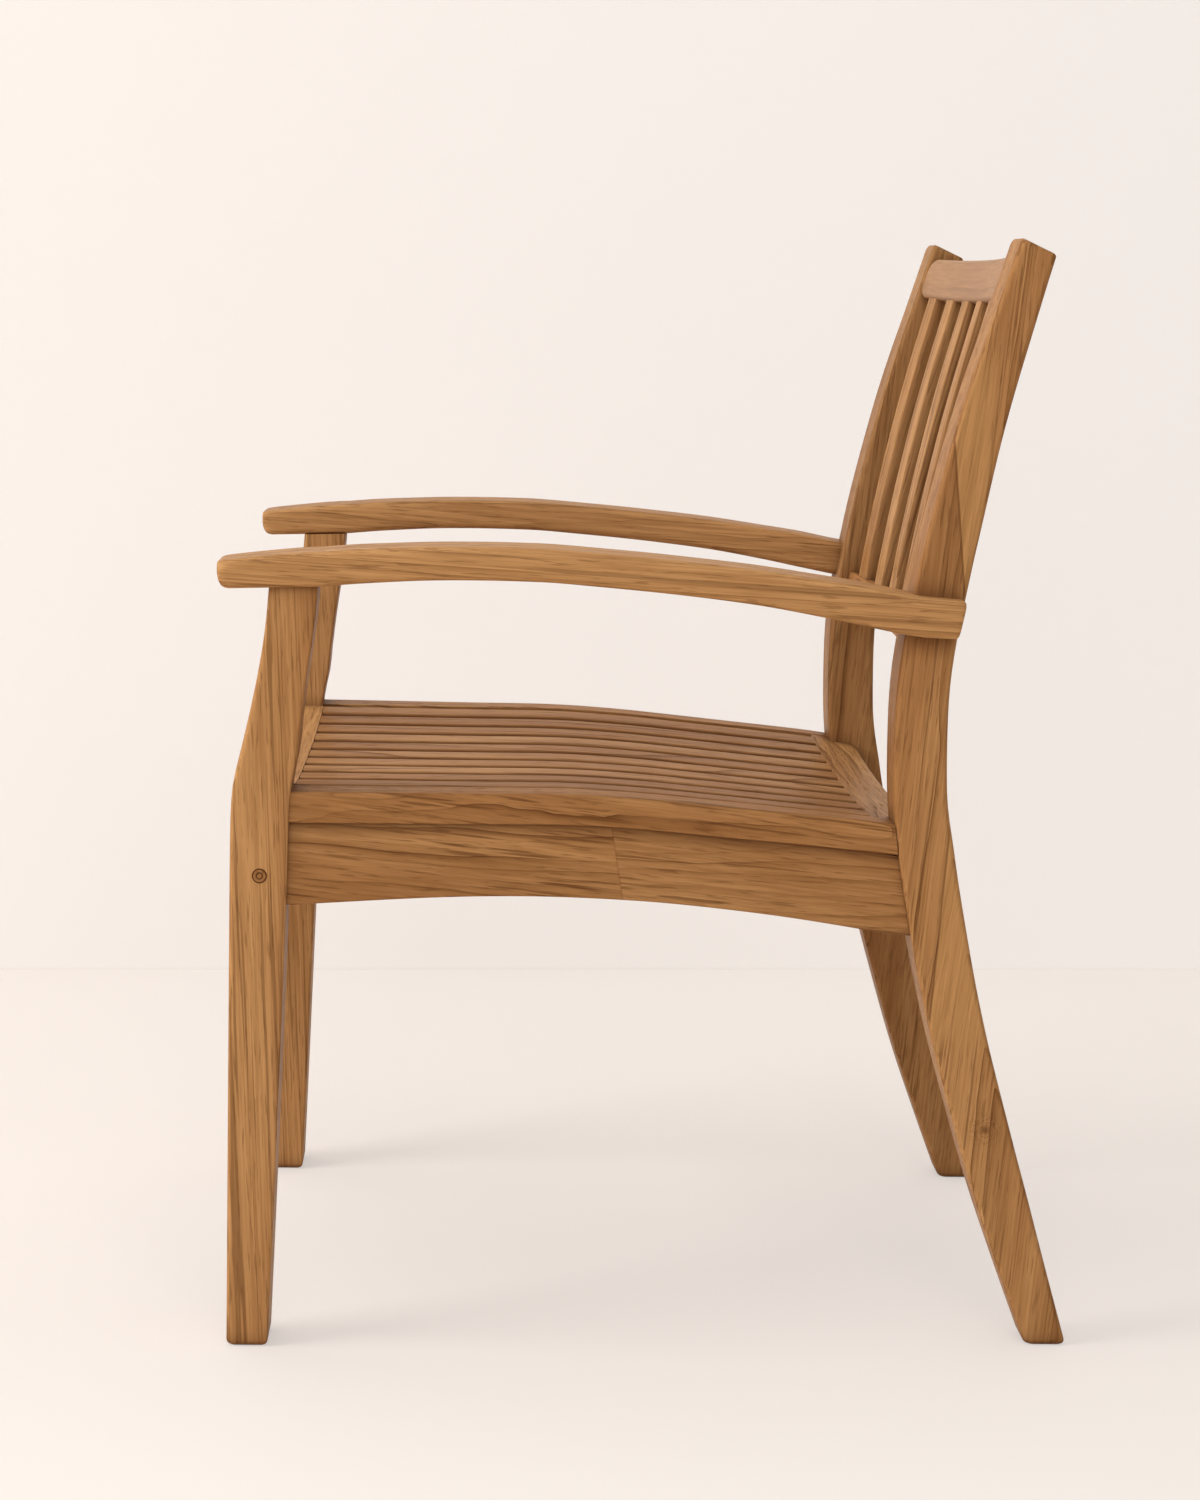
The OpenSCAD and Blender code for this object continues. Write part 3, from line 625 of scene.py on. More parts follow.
seatSizes = {
    "top": [[-334, 446], [-148, 446], [-70, 446], [-10, 443], [48, 438], [102, 433], [146, 429],
            [172, 426.5]],
    "fall": 0.15,
    "slats": 10,
    "gap": 7.5,
    "slatThick": 18,
    "boardThick": 24.5,
    "sideWide": 36,
    "frontWide": 47,
    "rearWide": 40,
    "hollow": 6.5,
    # the hollow ends this far in from the leg's outer face
    "hollowEdge": 38,
    # the slats end this far before the post, with a hair's gap at both ends
    "slatShort": 14,
    "hair": 0.2,
    # the side board's outer face lies this far inside the leg's
    "setIn": 2,
    "sideRadii": (3, 1, 0.4, 1.5),
    "frontRadii": (0.4, 7, 2, 0.4),
    "rearRadii": (3, 0.4, 0.4, 1.5),
    # reach of the notches round the posts: sideways, then low and high
    "notchOut": 300,
    "notchHigh": (380, 470),
    "slatRound": 6,
    "bearer": {"high": 38, "middle": -60, "round": 1.5},
}
apronSizes = {
    "line": [[-286, 0], [-168, 0.85], [-90, 1], [-10, 0.6], [52, -0.1], [116, -1.1], [210, -3]],
    "low": 356,
    "rise": 8,
    "thick": 24,
    # the side apron's outer face lies this far inside the leg's
    "setIn": 5,
    "radii": (0.4, 0.4, 2, 2),
    # the side apron meets the post this far behind the seat's own end
    "past": 8,
    # the rear apron's middle lies this far behind the post's front, taken this far down
    "rearIn": 15,
    "rearDown": 36,
}
backSizes = {
    "slatFront": [[550, 201], [590, 206.5], [640, 215], [700, 227], [760, 241], [845, 264]],
    "slats": 5,
    "slatWide": 38,
    "slatThick": 18,
    "slatRound": 5,
    "bow": 8,
    "rake": 16,
    "lowerRake": 9,
    "crestHigh": 37,
    "crestDrop": 12,
    # distance from the end, top inset, low inset
    "crestEnds": [[0, 9, 5], [0.6, 7, 3.9], [1.5, 5.2, 2.8], [4, 2.7, 1.2], [8, 1, 0.2], [14, 0, 0]],
    "crestPlain": 26,
    "crestThick": 24,
    "crestRound": (6, 6, 4, 4),
    "lowerHigh": 26,
    "lowerZ": 556,
    # how far the two rails lie behind the post's front
    "crestIn": 3,
    "lowerIn": 10,
    # free width beside the row of slats, and how far they run into the rails
    "sideFree": 12,
    "slatIntoLower": 6,
    "slatIntoCrest": 3,
}


def legFront(z):
    return smooth(z, legSizes["front"])


def legBack(z):
    return legFront(z) + smooth(z, legSizes["deep"])


def postFront(z):
    return smooth(z, postSizes["front"])


def postBack(z):
    return postFront(z) + smooth(z, postSizes["deep"])


def armUnder(y):
    if y <= armSizes["low"][0][0]:
        return chair["armUnder"] + armSizes["tilt"] * (y - armSizes["level"])
    return smooth(y, armSizes["low"])


def armTop(y):
    return armUnder(y) + smooth(y, armSizes["deep"])


def seatTop(y):
    last = seatSizes["top"][-1]
    return smooth(y, seatSizes["top"]) if y < last[0] else last[1] - seatSizes["fall"] * (y - last[0])


def apronLow(y):
    return apronSizes["low"] + apronSizes["rise"] * smooth(y, apronSizes["line"])


seatFront = legBack(chair["seat"])
seatBack = postFront(chair["seat"])
slatFront = legFront(chair["seat"]) + seatSizes["frontWide"]
slatBack = seatBack - seatSizes["slatShort"]
hollowHalf = chair["legOut"] - seatSizes["hollowEdge"]


def sideOut(y):
    u = (y - seatFront) / (seatBack - seatFront)
    return chair["legOut"] + (chair["postOut"] - chair["legOut"]) * u


def railIn(y):
    draw = (chair["legOut"] - chair["postOut"]) / 2 * (y - slatFront) / (slatBack - slatFront)
    return chair["legOut"] - seatSizes["setIn"] - seatSizes["sideWide"] - draw


def armOut(y):
    u = (y - chair["tip"]) / (seatBack - chair["tip"])
    return chair["armOut"] * (1 - u) + (chair["postOut"] + armSizes["lap"]) * u


def hollow(x):
    return seatSizes["hollow"] * max(0, 1 - (x / hollowHalf) ** 2)


def bow(x):
    return backSizes["bow"] * (1 - (x / chair["postIn"]) ** 2)


def same(r):
    return (r, r, r, r)


def sided(side, name):
    return ("left" if side > 0 else "right") + name


def betweenLegs(rows):
    # the first ring lies on the leg's back face and the last one on the post's front face
    rows[0] = [(x, legBack(z), z) for x, y, z in rows[0]]
    rows[-1] = [(x, postFront(z), z) for x, y, z in rows[-1]]
    return rows


# legs and posts
def footRings(r):
    # heights and insets of a rounded foot
    return [(r * (1 - math.cos(math.radians(a))), r * (1 - math.sin(math.radians(a))))
            for a in (0, 22, 45, 67, 90)]


def frontLeg(side):
    r = legSizes["round"]
    radii = (r / 2, r / 2, r, r)
    rings = []
    for z, inset in footRings(legSizes["foot"]):
        rings.append(ring((legFront(z) + inset, z), (legBack(z) - inset, z),
                          chair["legIn"] + inset, chair["legOut"] - inset, radii))
    for z in spread(legSizes["foot"], chair["armUnder"], legSizes["step"])[1:]:
        rings.append(ring((legFront(z), z), (legBack(z), z), chair["legIn"], chair["legOut"], radii))
    # the top lies on the arm's tilted lower face
    rings[-1] = [(x, y, armUnder(y)) for x, y, z in rings[-1]]
    return loft(sided(side, "FrontLeg"), rings, side)


def rearPost(side):
    s, top = postSizes, chair["back"]
    radii = same(s["round"])
    rings = []

    def level(z, inset=0):
        draw = s["taper"] * max(0, 1 - z / s["taperEnd"])
        rings.append(ring((postFront(z) + inset, z), (postBack(z) - inset, z),
                          chair["postIn"] + draw + inset, chair["postOut"] - inset, radii))

    for z, inset in footRings(s["foot"]):
        level(z, inset)
    for z in spread(s["foot"], s["bodyEnd"], s["step"])[1:]:
        level(z)
    for frontDrop, backDrop, frontInset, backInset in s["crown"]:
        a, b, edge = top - frontDrop, top - backDrop, s["crownSide"] * backInset
        rings.append(ring((postFront(a) + frontInset, a), (postBack(b) - backInset, b),
                          chair["postIn"] + edge, chair["postOut"] - edge, radii))
    return loft(sided(side, "RearPost"), rings, side)


def behindPost(x0, x1, z0=500, z1=700, far=400):
    # all that lies behind the post's front from x0 to x1, to be cut out of another piece
    outline = [(postFront(z), z) for z in spread(z0, z1, 5)] + [(far, z1), (far, z0)]
    return loft("postCut", [[(x, y, z) for y, z in outline] for x in (x0, x1)])


def arm(side):
    s = armSizes
    rings = []
    for y, lowInset, highInset in s["nose"]:
        y, edge = y + chair["tip"], s["noseSide"] * lowInset
        rings.append(ring((y, armUnder(y) + lowInset), (y, armTop(y) - highInset),
                          armOut(y) - s["wide"] + edge, armOut(y) - edge, same(s["round"])))
    for y in spread(chair["tip"] + s["nose"][-1][0], s["bodyEnd"], s["step"])[1:]:
        rings.append(ring((y, armUnder(y)), (y, armTop(y)), armOut(y) - s["wide"], armOut(y),
                          same(s["round"])))
    low, high = armUnder(s["tailAt"]), armTop(s["tailAt"])
    for back, inset in s["tail"]:
        back += s["short"]
        a, b = (postBack(low) - back, low + inset), (postBack(high) - back, high - inset)
        rings.append(ring(a, b, armOut(a[0]) - s["wide"], armOut(a[0]) - inset / 2,
                          same(s["round"])))
    piece = loft(sided(side, "Arm"), rings, side)
    x0, x1 = chair["postOut"] - s["wide"], chair["postOut"]
    cut(piece, behindPost(min(side * x0, side * x1), max(side * x0, side * x1)))
    return piece


# seat frame
def seatSide(side):
    s = seatSizes
    rings = [ring((y, seatTop(y) - s["boardThick"]), (y, seatTop(y)), railIn(y),
                  sideOut(y) - s["setIn"], s["sideRadii"])
             for y in spread(seatFront, seatBack, 12)]
    return loft(sided(side, "SeatBoard"), betweenLegs(rings), side)


def sideApron(side):
    s = apronSizes
    rings = [ring((y, apronLow(y)), (y, seatTop(y) - seatSizes["boardThick"]),
                  sideOut(y) - s["setIn"] - s["thick"], sideOut(y) - s["setIn"], s["radii"])
             for y in spread(seatFront, seatBack + s["past"], 12)]
    return loft(sided(side, "SideApron"), betweenLegs(rings), side)


def dished(row):
    return [(x, y, z - hollow(x)) for x, y, z in row]


def seatFrontRail():
    s = seatSizes
    inset = 0.5
    corner = (legFront(chair["seat"]) + inset, chair["seat"] - s["boardThick"])
    rings = [dished(crossRing(x, corner, s["frontWide"] - inset - s["hair"], s["boardThick"],
                              s["frontRadii"]))
             for x in spread(-chair["legIn"], chair["legIn"], 20)]
    return loft("seatFrontRail", rings)


def seatRearBoard():
    s = seatSizes
    end = railIn(slatBack)
    rings = []
    for x in spread(-end, end, 18):
        row = []
        for u, v in section(s["rearWide"] - s["hair"], s["boardThick"], s["rearRadii"]):
            y = slatBack + s["hair"] + u
            side = math.copysign(railIn(y), x) if abs(x) > end - 0.01 else x
            row.append((side, y, seatTop(y) - s["boardThick"] + v - hollow(side)))
        rings.append(row)
    piece = loft("seatRearBoard", rings)
    inner, outer = chair["postIn"], s["notchOut"]
    for x0, x1 in ((inner, outer), (-outer, -inner)):
        cut(piece, behindPost(x0, x1, *s["notchHigh"]))
    return piece


def screwY():
    return (legFront(plugSizes["z"]) + legBack(plugSizes["z"])) / 2 + plugSizes["behind"]


def frontApron():
    s = apronSizes
    y = screwY() - s["thick"] / 2
    rings = []
    for x in spread(-chair["legIn"], chair["legIn"], 20):
        low = s["low"] + s["rise"] * (1 - (x / chair["legIn"]) ** 2)
        top = chair["seat"] - seatSizes["boardThick"] - hollow(x)
        rings.append(crossRing(x, (y, low), s["thick"], top - low, s["radii"]))
    return loft("frontApron", rings)


def rearApron():
    s = apronSizes
    z = seatTop(seatBack) - seatSizes["boardThick"] - s["rearDown"]
    middle = postFront(z) + s["rearIn"]
    nominal = 60
    rings = []
    for x in spread(-chair["postIn"], chair["postIn"], 20):
        low = apronLow(middle) + s["rise"] * (1 - (x / chair["postIn"]) ** 2)
        row = []
        for u, v in section(s["thick"], nominal, s["radii"]):
            y = middle - s["thick"] / 2 + u
            top = seatTop(y) - seatSizes["boardThick"] - hollow(x)
            row.append((x, y, low + (top - low) * v / nominal))
        rings.append(row)
    return loft("rearApron", rings)


def seatBearer():
    b, thick = seatSizes["bearer"], apronSizes["thick"]
    top = seatTop(b["middle"] + thick / 2) - seatSizes["slatThick"]
    end = sideOut(b["middle"]) - apronSizes["setIn"] - thick
    corner = (b["middle"] - thick / 2, top - b["high"])
    rings = [dished(crossRing(x, corner, thick, b["high"], same(b["round"])))
             for x in spread(-end, end, 20)]
    return loft("seatBearer", rings)


# back frame
crestTurn = math.radians(backSizes["rake"])
crestZ = chair["back"] - (backSizes["crestHigh"] + backSizes["crestDrop"]) * math.cos(crestTurn)
crestCorner = (postFront(crestZ) + backSizes["crestIn"], crestZ)
lowerCorner = (postFront(backSizes["lowerZ"]) + backSizes["lowerIn"], backSizes["lowerZ"])


def railRing(x, corner, high, radii, turn, lowInset=0, highInset=0):
    push, a = bow(x), math.radians(turn)
    at = (corner[0] + push * math.cos(a) + lowInset * math.sin(a),
          corner[1] - push * math.sin(a) + lowInset * math.cos(a))
    return crossRing(x, at, backSizes["crestThick"], high - lowInset - highInset, radii, turn)


def crestRail():
    b = backSizes
    ends = [(chair["postIn"] - e[0], e[2], e[1]) for e in b["crestEnds"]]
    plain = chair["postIn"] - b["crestPlain"]
    inner = [(x, 0, 0) for x in spread(-plain, plain, 12)]
    places = [(-x, low, high) for x, low, high in ends] + inner + ends[::-1]
    return loft("crestRail", [railRing(x, crestCorner, b["crestHigh"], b["crestRound"], b["rake"],
                                       low, high) for x, low, high in places])


def lowerRail():
    b = backSizes
    return loft("lowerBackRail", [railRing(x, lowerCorner, b["lowerHigh"], same(3), b["lowerRake"])
                                  for x in spread(-chair["postIn"], chair["postIn"], 12)])


# slats: one node tree draws a row of rounded slats along a guide curve
def slatTree():
    tree = bpy.data.node_groups.new("slatRow", "GeometryNodeTree")
    make = tree.interface.new_socket
    make("Guide", in_out="INPUT", socket_type="NodeSocketGeometry")
    make("Slats", in_out="INPUT", socket_type="NodeSocketInt")
    for name in ("Width", "Thickness", "Rounding", "Pitch", "End Pitch", "Gap", "Bow", "Bow Half"):
        make(name, in_out="INPUT", socket_type="NodeSocketFloat")
    make("Bow Way", in_out="INPUT", socket_type="NodeSocketVector")
    make("Wood", in_out="INPUT", socket_type="NodeSocketMaterial")
    make("Slats", in_out="OUTPUT", socket_type="NodeSocketGeometry")
    new = tree.nodes.new
    start = new("NodeGroupInput").outputs
    end = new("NodeGroupOutput").inputs

    def calc(op, a, b=None, c=None):
        return mathNode(tree, op, a, b, c)

    def keep(geometry, name, value):
        node = new("GeometryNodeStoreNamedAttribute")
        node.data_type = "FLOAT"
        node.domain = "POINT"
        return fill(tree, node, {"Geometry": geometry, "Name": name, "Value": value})["Geometry"]

    def kept(name):
        node = new("GeometryNodeInputNamedAttribute")
        node.data_type = "FLOAT"
        return fill(tree, node, {"Name": name})["Attribute"]

    copies = new("GeometryNodeDuplicateElements")
    copies.domain = "SPLINE"
    made = fill(tree, copies, {"Geometry": start["Guide"], "Amount": start["Slats"]})
    rows = keep(made["Geometry"], "slatNumber", made["Duplicate Index"])
    rows = keep(rows, "along", new("GeometryNodeSplineParameter").outputs["Factor"])
    steady = new("GeometryNodeSetCurveNormal")
    steady.mode = "Z_UP"
    rows = fill(tree, steady, {"Curve": rows})["Curve"]

    outline = fill(tree, new("GeometryNodeCurvePrimitiveQuadrilateral"),
                   {"Width": start["Width"], "Height": start["Thickness"]})["Curve"]
    soft = new("GeometryNodeFilletCurve")
    soft.mode = "POLY"
    outline = fill(tree, soft, {"Curve": outline, "Count": 6, "Radius": start["Rounding"]})["Curve"]
    rods = fill(tree, new("GeometryNodeCurveToMesh"),
                {"Curve": rows, "Profile Curve": outline, "Fill Caps": True})["Mesh"]

    place = placeOf(tree, new("GeometryNodeInputPosition").outputs[0])
    inner = calc("MULTIPLY_ADD", start["Width"], 0.5, calc("MULTIPLY", start["Rounding"], -1))
    overEdge = calc("DIVIDE", calc("SUBTRACT", calc("ABSOLUTE", place[0]), inner), start["Rounding"])
    rods = keep(rods, "slatEdge", calc("MAXIMUM", overEdge, 0))

    # move each copy to its place across the row, drawn in along the guide, then bow the row
    step = calc("MULTIPLY_ADD", calc("SUBTRACT", start["End Pitch"], start["Pitch"]), kept("along"),
                start["Pitch"])
    middle = calc("MULTIPLY", calc("SUBTRACT", start["Slats"], 1), 0.5)
    centre = calc("MULTIPLY", calc("SUBTRACT", kept("slatNumber"), middle), step)
    narrow = calc("DIVIDE", calc("SUBTRACT", step, start["Gap"]),
                  calc("SUBTRACT", start["Pitch"], start["Gap"]))
    x = calc("MULTIPLY_ADD", place[0], narrow, centre)
    ratio = calc("DIVIDE", x, start["Bow Half"])
    depth = calc("MULTIPLY", start["Bow"], calc("SUBTRACT", 1, calc("MULTIPLY", ratio, ratio)))
    push = new("ShaderNodeVectorMath")
    push.operation = "SCALE"
    pushed = fill(tree, push, {0: start["Bow Way"], "Scale": depth})[0]
    bowed = sumOf(tree, spotOf(tree, x, place[1], place[2]), pushed)
    moved = fill(tree, new("GeometryNodeSetPosition"), {"Geometry": rods, "Position": bowed})[0]
    real = fill(tree, new("GeometryNodeRealizeInstances"), {0: moved})[0]
    dressed = fill(tree, new("GeometryNodeSetMaterial"), {"Geometry": real, "Material": start["Wood"]})
    link(tree, dressed[0], end["Slats"])
    return tree


def slatRow(name, tree, guide, **values):
    # guide is a list of (y, z) points on the slats' middle line
    curve = bpy.data.curves.new(name, "CURVE")
    curve.dimensions = "3D"
    spline = curve.splines.new("POLY")
    spline.points.add(len(guide) - 1)
    for point, (y, z) in zip(spline.points, guide):
        point.co = (0, y * mm, z * mm, 1)
    holder = bpy.data.objects.new(name + "Guide", curve)
    bpy.context.collection.objects.link(holder)
    modifier = holder.modifiers.new("slats", "NODES")
    modifier.node_group = tree
    names = {item.name: item.identifier for item in tree.interface.items_tree
             if item.in_out == "INPUT"}
    for key, value in values.items():
        modifier[names[key]] = value
    seen = holder.evaluated_get(bpy.context.evaluated_depsgraph_get())
    mesh = bpy.data.meshes.new_from_object(seen)
    bpy.data.objects.remove(holder)
    piece = bpy.data.objects.new(name, mesh)
    bpy.context.collection.objects.link(piece)
    return piece


# wood plug over the apron screw: a disc of end grain with a turned ring
plugSizes = {
    "radius": 6,
    "eased": 0.4,
    # the ring's radius, its groove's depth, and half the groove's width at its top and bottom
    "ring": 3.1,
    "groove": 0.4,
    "grooveTop": 0.4,
    "grooveBottom": 0.2,
    "proud": 0.3,
    "deep": 8,
    # height, and place behind the leg's middle line
    "z": 380,
    "behind": 1,
    # radii where the dark rim and the dark ring begin and end, each with its softness
    "rim": (4.5, 5.1),
    "darkFrom": (1.6, 2.1),
    "darkTo": (3.0, 3.5),
    "darkMix": 0.95,
}


def legPlug(side):
    s = plugSizes
    face, radius, middle = chair["legOut"] + s["proud"], s["radius"], s["ring"]
    floor = face - s["groove"]
    steps = [(face - s["deep"], radius), (face - s["eased"], radius), (face, radius - s["eased"]),
             (face, middle + s["grooveTop"]), (floor, middle + s["grooveBottom"]),
             (floor, middle - s["grooveBottom"]), (face, middle - s["grooveTop"]), (face, 0.4)]
    y = screwY()
    turn = [math.radians(360 * i / 36) for i in range(36)]
    rings = [[(x, y + r * math.cos(a), s["z"] + r * math.sin(a)) for a in turn] for x, r in steps]
    return loft(sided(side, "LegPlug"), rings, side)


# build every piece in its own wood
def buildFrame():
    for side, word in ((1, "left"), (-1, "right")):
        # far: painted light and shade on the far side, darkening its posts and arms and shifting its
        # leg's tone
        far = 0.0 if side > 0 else 0.12
        pieces = (
            (frontLeg, "leg", "_front_leg", upright(-2.5), 3.1, legPaintedShade,
             {"Pith Across": 0.36, "Pith Deep": 0.42, "Tone": -far / 2}),
            (rearPost, "post", "_rear_post", upright(5), 7.7, postMarks,
             {"Pith Across": -0.3, "Pith Deep": 0.42, "Shade": 2 * far}),
            (arm, "arm", "_arm", lengthwise(3), 11.3, None,
             {"Pith Across": 0.32, "Pith Deep": -0.3, "Ring Gap": 0.006, "Tone": -0.2,
              "Rings": 0.7, "Streaks": 0.8, "Shade": far}),
            (seatSide, "seatBoard", "_seat_rail", lengthwise(7), 15.9, None,
             {"Pith Across": -0.1, "Pith Deep": -0.3, "Ring Gap": 0.005, "Streaks": 1.3, "Tone": 0.05,
              "Shade": 0.02}),
            (sideApron, "apron", "_side_apron", lengthwise(6), 19.4, apronMarksAndShade,
             {"Pith Across": 0.0, "Pith Deep": -0.15, "Streaks": 1.3, "Tone": 0.05, "Shade": 0.08}),
        )
        for build, name, node, turn, seed, marks, look in pieces:
            wood = teak(word + name.capitalize() + "Teak", turn, seed + side, look, marks)
            finishPiece(build(side), wood, "frame_teak", word + node)
        wood = teak(word + "PlugTeak", crosswise, 23.0 + side, {"Tone": 0.12}, plugMarks)
        finishPiece(legPlug(side), wood, "plug_teak", word + "_leg_plug")
    print("legs, posts, arms, side boards and side aprons are in place")
    rails = (
        (seatFrontRail, "frontRail", "seat_front_rail", 27.2, None, {}),
        (seatRearBoard, "rearBoard", "seat_rear_board", 31.8, None, {"Tone": 0.05, "Shade": 0.05}),
        (frontApron, "frontApron", "front_apron", 35.1, None, {"Shade": 0.05}),
        (rearApron, "rearApron", "rear_apron", 39.6, None, {"Shade": 0.1}),
        (seatBearer, "bearer", "seat_bearer", 43.3, None, {"Shade": 0.1}),
        (crestRail, "crest", "crest_rail", 47.5, crestMarks,
         {"Rings": 0.5, "Streaks": 0.3, "Pores": 0.15, "Ring Gap": 0.014, "Pith Deep": -0.24,
          "Shade": 0.1}),
        (lowerRail, "lowerRail", "lower_back_rail", 51.9, None, {}),
    )
    for build, name, node, seed, marks, look in rails:
        finishPiece(build(), teak(name + "Teak", crosswise, seed, look, marks), "frame_teak", node)
    print("cross rails, boards and aprons are in place")


def buildSlats():
    tree = slatTree()
    s = seatSizes
    pitch = 2 * (railIn(slatFront) - s["gap"] / 2) / s["slats"]
    endPitch = 2 * (railIn(slatBack) - s["gap"] / 2) / s["slats"]
    guide = [(y, seatTop(y) - s["slatThick"] / 2)
             for y in spread(slatFront + s["hair"], slatBack - s["hair"], 10)]
    wood = teak("seatSlatTeak", lengthwise(2), 55.0, {"Shade": 0.1, "Tone": 0.05}, None, 0.85)
    seat = slatRow("seatSlats", tree, guide, **{
        "Slats": s["slats"], "Width": (pitch - s["gap"]) * mm, "Thickness": s["slatThick"] * mm,
        "Rounding": s["slatRound"] * mm, "Pitch": pitch * mm, "End Pitch": endPitch * mm,
        "Gap": s["gap"] * mm, "Bow": s["hollow"] * mm, "Bow Half": hollowHalf * mm,
        "Bow Way": (0, 0, -1), "Wood": wood})
    finishPiece(seat, wood, "slat_teak", *["seat_slat_%d" % i for i in range(1, s["slats"] + 1)])
    b = backSizes
    pitch = (2 * chair["postIn"] - b["sideFree"]) / b["slats"]
    guide = [(smooth(z, b["slatFront"]) + b["slatThick"] / 2, z)
             for z in spread(b["lowerZ"] + b["lowerHigh"] - b["slatIntoLower"],
                             crestZ + b["slatIntoCrest"], 10)]
    wood = teak("backSlatTeak", upright(14), 61.0, {"Tone": -0.1}, None, 0.5)
    back = slatRow("backSlats", tree, guide, **{
        "Slats": b["slats"], "Width": b["slatWide"] * mm, "Thickness": b["slatThick"] * mm,
        "Rounding": b["slatRound"] * mm, "Pitch": pitch * mm, "End Pitch": pitch * mm,
        "Gap": 0.001, "Bow": b["bow"] / math.cos(math.radians(b["rake"])) * mm,
        "Bow Half": chair["postIn"] * mm, "Bow Way": (0, 1, 0), "Wood": wood})
    finishPiece(back, wood, "slat_teak", *["back_slat_%d" % i for i in range(1, b["slats"] + 1)])
    print("slats:", len(seat.data.polygons), "and", len(back.data.polygons), "faces")


buildFrame()
buildSlats()
screwSteel = steel()
for side in ("left", "right"):
    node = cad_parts[side + "_apron_screw"]
    for holder in node.material_slots:
        holder.material = screwSteel
    if not node.material_slots:
        node.data.materials.append(screwSteel)


# floor, wall and light
def paleRays(tree):
    # the rays that see the pale background: from the camera, and by mirror or glass
    rays = tree.nodes.new("ShaderNodeLightPath").outputs
    mirrored = mathNode(tree, "MAXIMUM", rays["Is Glossy Ray"], rays["Is Transmission Ray"])
    return mathNode(tree, "MAXIMUM", rays["Is Camera Ray"], mirrored)


groundSizes = {
    "floor": 9000,
    # the wall's two ends on the floor, and its height
    "left": (-900, -4000),
    "right": (-1372, 4000),
    "high": 3600,
    # distances in metres between which the glow takes over from the lit colour
    "glow": (2.0, 4.5),
    "floorLit": shade(240, 230, 221),
    # painted light: the glow's colours, brighter to the right and before the chair
    "wallLit": shade(247, 241, 236),
    "glowLeft": shade(245, 240, 237),
    "glowRight": shade(255, 252, 250),
    "glowBefore": shade(255, 252, 249),
    "skyLight": shade(250, 238, 226),
    "skySeen": shade(247, 239, 233),
}


def paleGround():
    # a pale floor and a wall behind the chair, their corner level in the photograph
    g = groundSizes
    far, (x0, y0), (x1, y1) = g["floor"], g["left"], g["right"]
    corners = ((far, -far, 0), (far, far, 0), (-far, far, 0), (-far, -far, 0),
               (x0, y0, 0), (x1, y1, 0), (x1, y1, g["high"]), (x0, y0, g["high"]))
    mesh = bpy.data.meshes.new("ground")
    mesh.from_pydata([[v * mm for v in c] for c in corners], [], [(0, 1, 2, 3), (4, 5, 6, 7)])
    ground = bpy.data.objects.new("ground", mesh)
    bpy.context.collection.objects.link(ground)
    material, tree, shader, coords = freshMaterial("paleGround")
    place = placeOf(tree, coords)
    onWall = remap(tree, place[2], 0.0, 0.004)
    lit = mixColor(tree, onWall, g["floorLit"], g["wallLit"])
    fill(tree, shader, {"Base Color": lit, "Roughness": 0.9})
    # painted light: the glow is made brighter to the right
    across = remap(tree, place[1], -1.2, 1.4)
    pale = mixColor(tree, across, g["glowLeft"], g["glowRight"])
    # painted light: the floor before the chair is made brighter
    pale = mixColor(tree, remap(tree, place[0], 0.2, 0.7), pale, g["glowBefore"])
    glow = fill(tree, tree.nodes.new("ShaderNodeEmission"), {"Color": pale})[0]

    def blend(share, a, b):
        return fill(tree, tree.nodes.new("ShaderNodeMixShader"), {0: share, 1: a, 2: b})[0]

    # near the chair half glow and half lit colour, further off all glow
    share = remap(tree, lengthOf(tree, coords), *g["glow"], 0.5, 1.0)
    seen = blend(both(tree, paleRays(tree), share), shader.outputs[0], glow)
    # the wall is clear from behind, so that the chair's back can be seen
    behind = tree.nodes.new("ShaderNodeNewGeometry").outputs["Backfacing"]
    clear = blend(behind, seen, tree.nodes.new("ShaderNodeBsdfTransparent").outputs[0])
    link(tree, clear, tree.nodes["Material Output"].inputs["Surface"])
    mesh.materials.append(material)


# place, width in metres and watts; all of them aim at the seat
lampSizes = {
    "keyLight": ((1.1, -3.8, 2.2), 2.2, 116),
    "topLight": ((0.5, -0.4, 3.2), 2.6, 28),
    "sideLight": ((3.4, 0.1, 1.9), 2.2, 40),
}
lampAim = (0, 0, 0.4)
lampColor = (1.0, 0.98, 0.96)


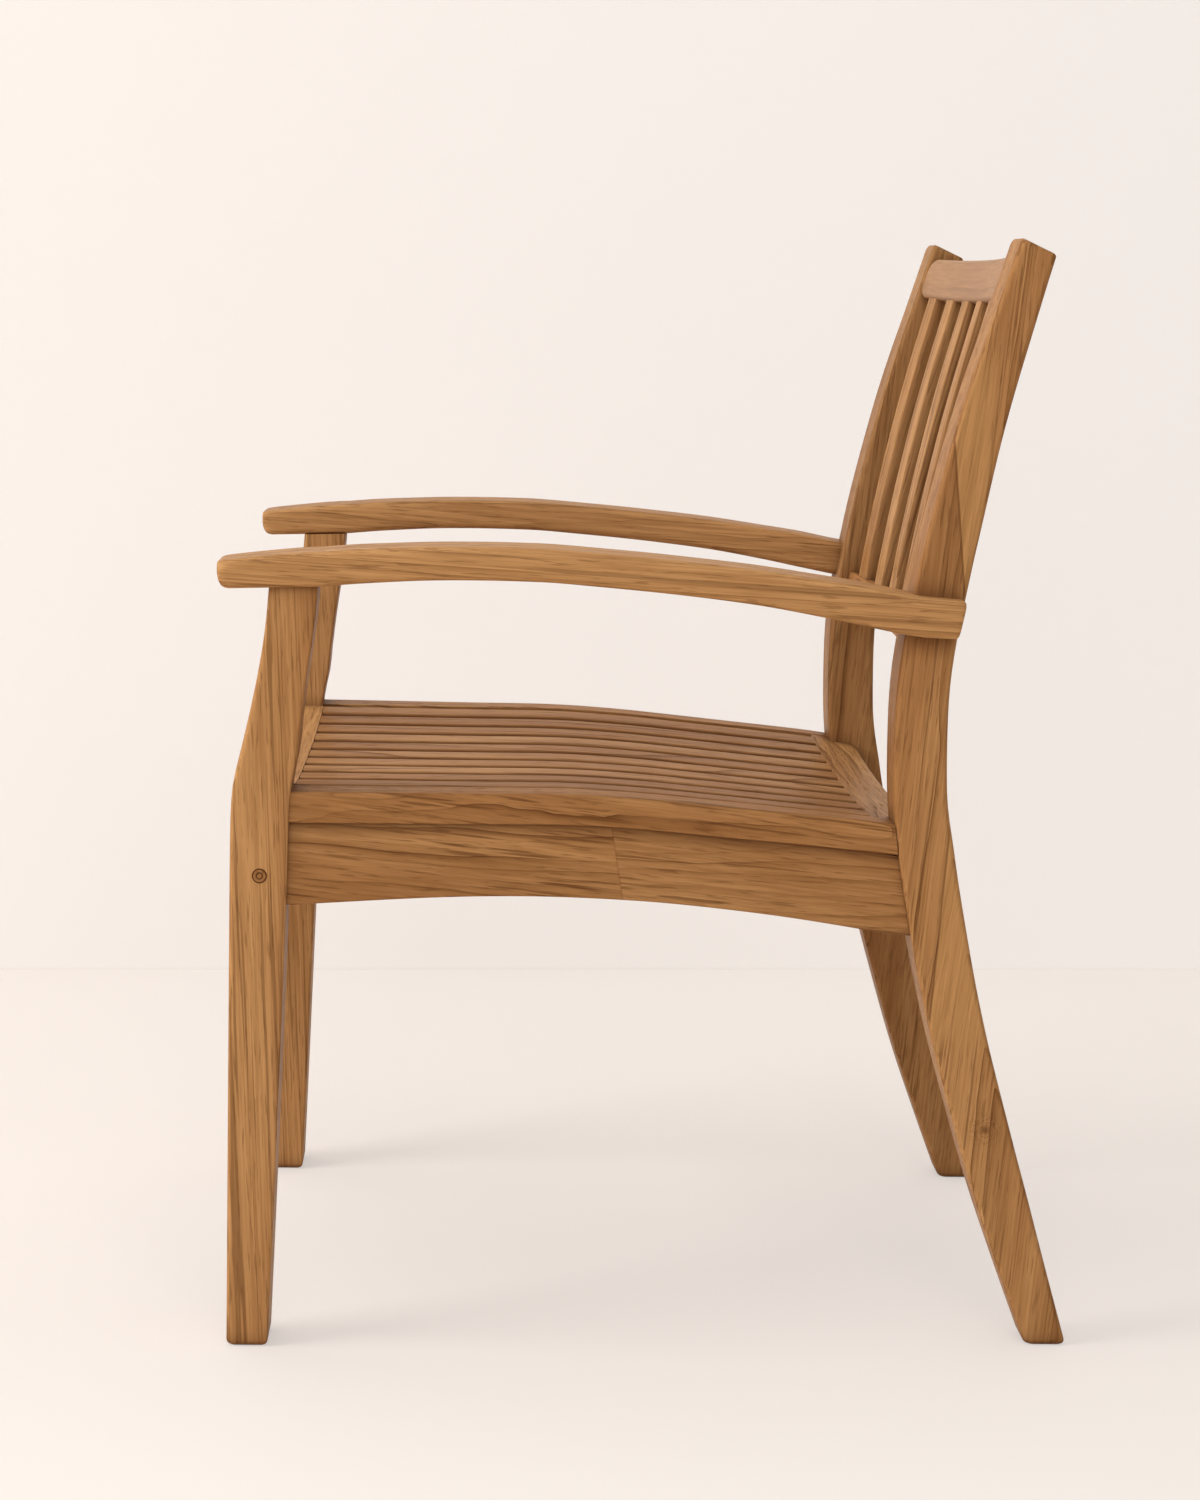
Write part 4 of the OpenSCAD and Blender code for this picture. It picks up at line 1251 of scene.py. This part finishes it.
def softbox(name, at, wide, watts):
    light = bpy.data.lights.new(name, "AREA")
    light.shape = "SQUARE"
    light.size = wide
    light.energy = watts
    light.color = lampColor
    holder = bpy.data.objects.new(name, light)
    way = Vector(lampAim) - Vector(at)
    holder.matrix_world = Matrix.Translation(at) @ way.to_track_quat("-Z", "Y").to_matrix().to_4x4()
    bpy.context.collection.objects.link(holder)


def lightAndSky():
    world = bpy.data.worlds.new("paleRoom")
    world.use_nodes = True
    tree = world.node_tree
    pale = paleRays(tree)
    fill(tree, tree.nodes["Background"],
         {"Color": mixColor(tree, pale, groundSizes["skyLight"], groundSizes["skySeen"]),
          "Strength": remap(tree, pale, 0.0, 1.0, 0.27, 1.0)})
    bpy.context.scene.world = world
    for name, (at, wide, watts) in lampSizes.items():
        softbox(name, at, wide, watts)


def photoCamera():
    # eye and turn of the photograph: yaw, pitch down and roll in radians
    view = {"eye": (2.7234, -0.1455, 0.8413), "yaw": 0.0409, "pitch": 0.1455, "roll": 0.0214,
            "lens": 76.5}
    yaw, pitch, roll = view["yaw"], view["pitch"], view["roll"]
    level = Vector((-math.cos(yaw), math.sin(yaw), 0))
    right = Vector((math.sin(yaw), math.cos(yaw), 0))
    up = Vector((0, 0, 1))
    ahead = level * math.cos(pitch) - up * math.sin(pitch)
    top = up * math.cos(pitch) + level * math.sin(pitch)
    rightTurned = right * math.cos(roll) + top * math.sin(roll)
    topTurned = top * math.cos(roll) - right * math.sin(roll)
    data = bpy.data.cameras.new("photoCamera")
    data.sensor_fit = "VERTICAL"
    data.sensor_height = 36
    data.lens = view["lens"]
    data.clip_start, data.clip_end = 0.05, 50
    camera = bpy.data.objects.new("photoCamera", data)
    turn = Matrix((rightTurned, topTurned, -ahead)).transposed()
    camera.matrix_world = Matrix.Translation(view["eye"]) @ turn.to_4x4()
    bpy.context.collection.objects.link(camera)
    bpy.context.scene.camera = camera


paleGround()
lightAndSky()
photoCamera()
bpy.context.scene.view_settings.view_transform = "Standard"
print("floor, lights and camera are set")
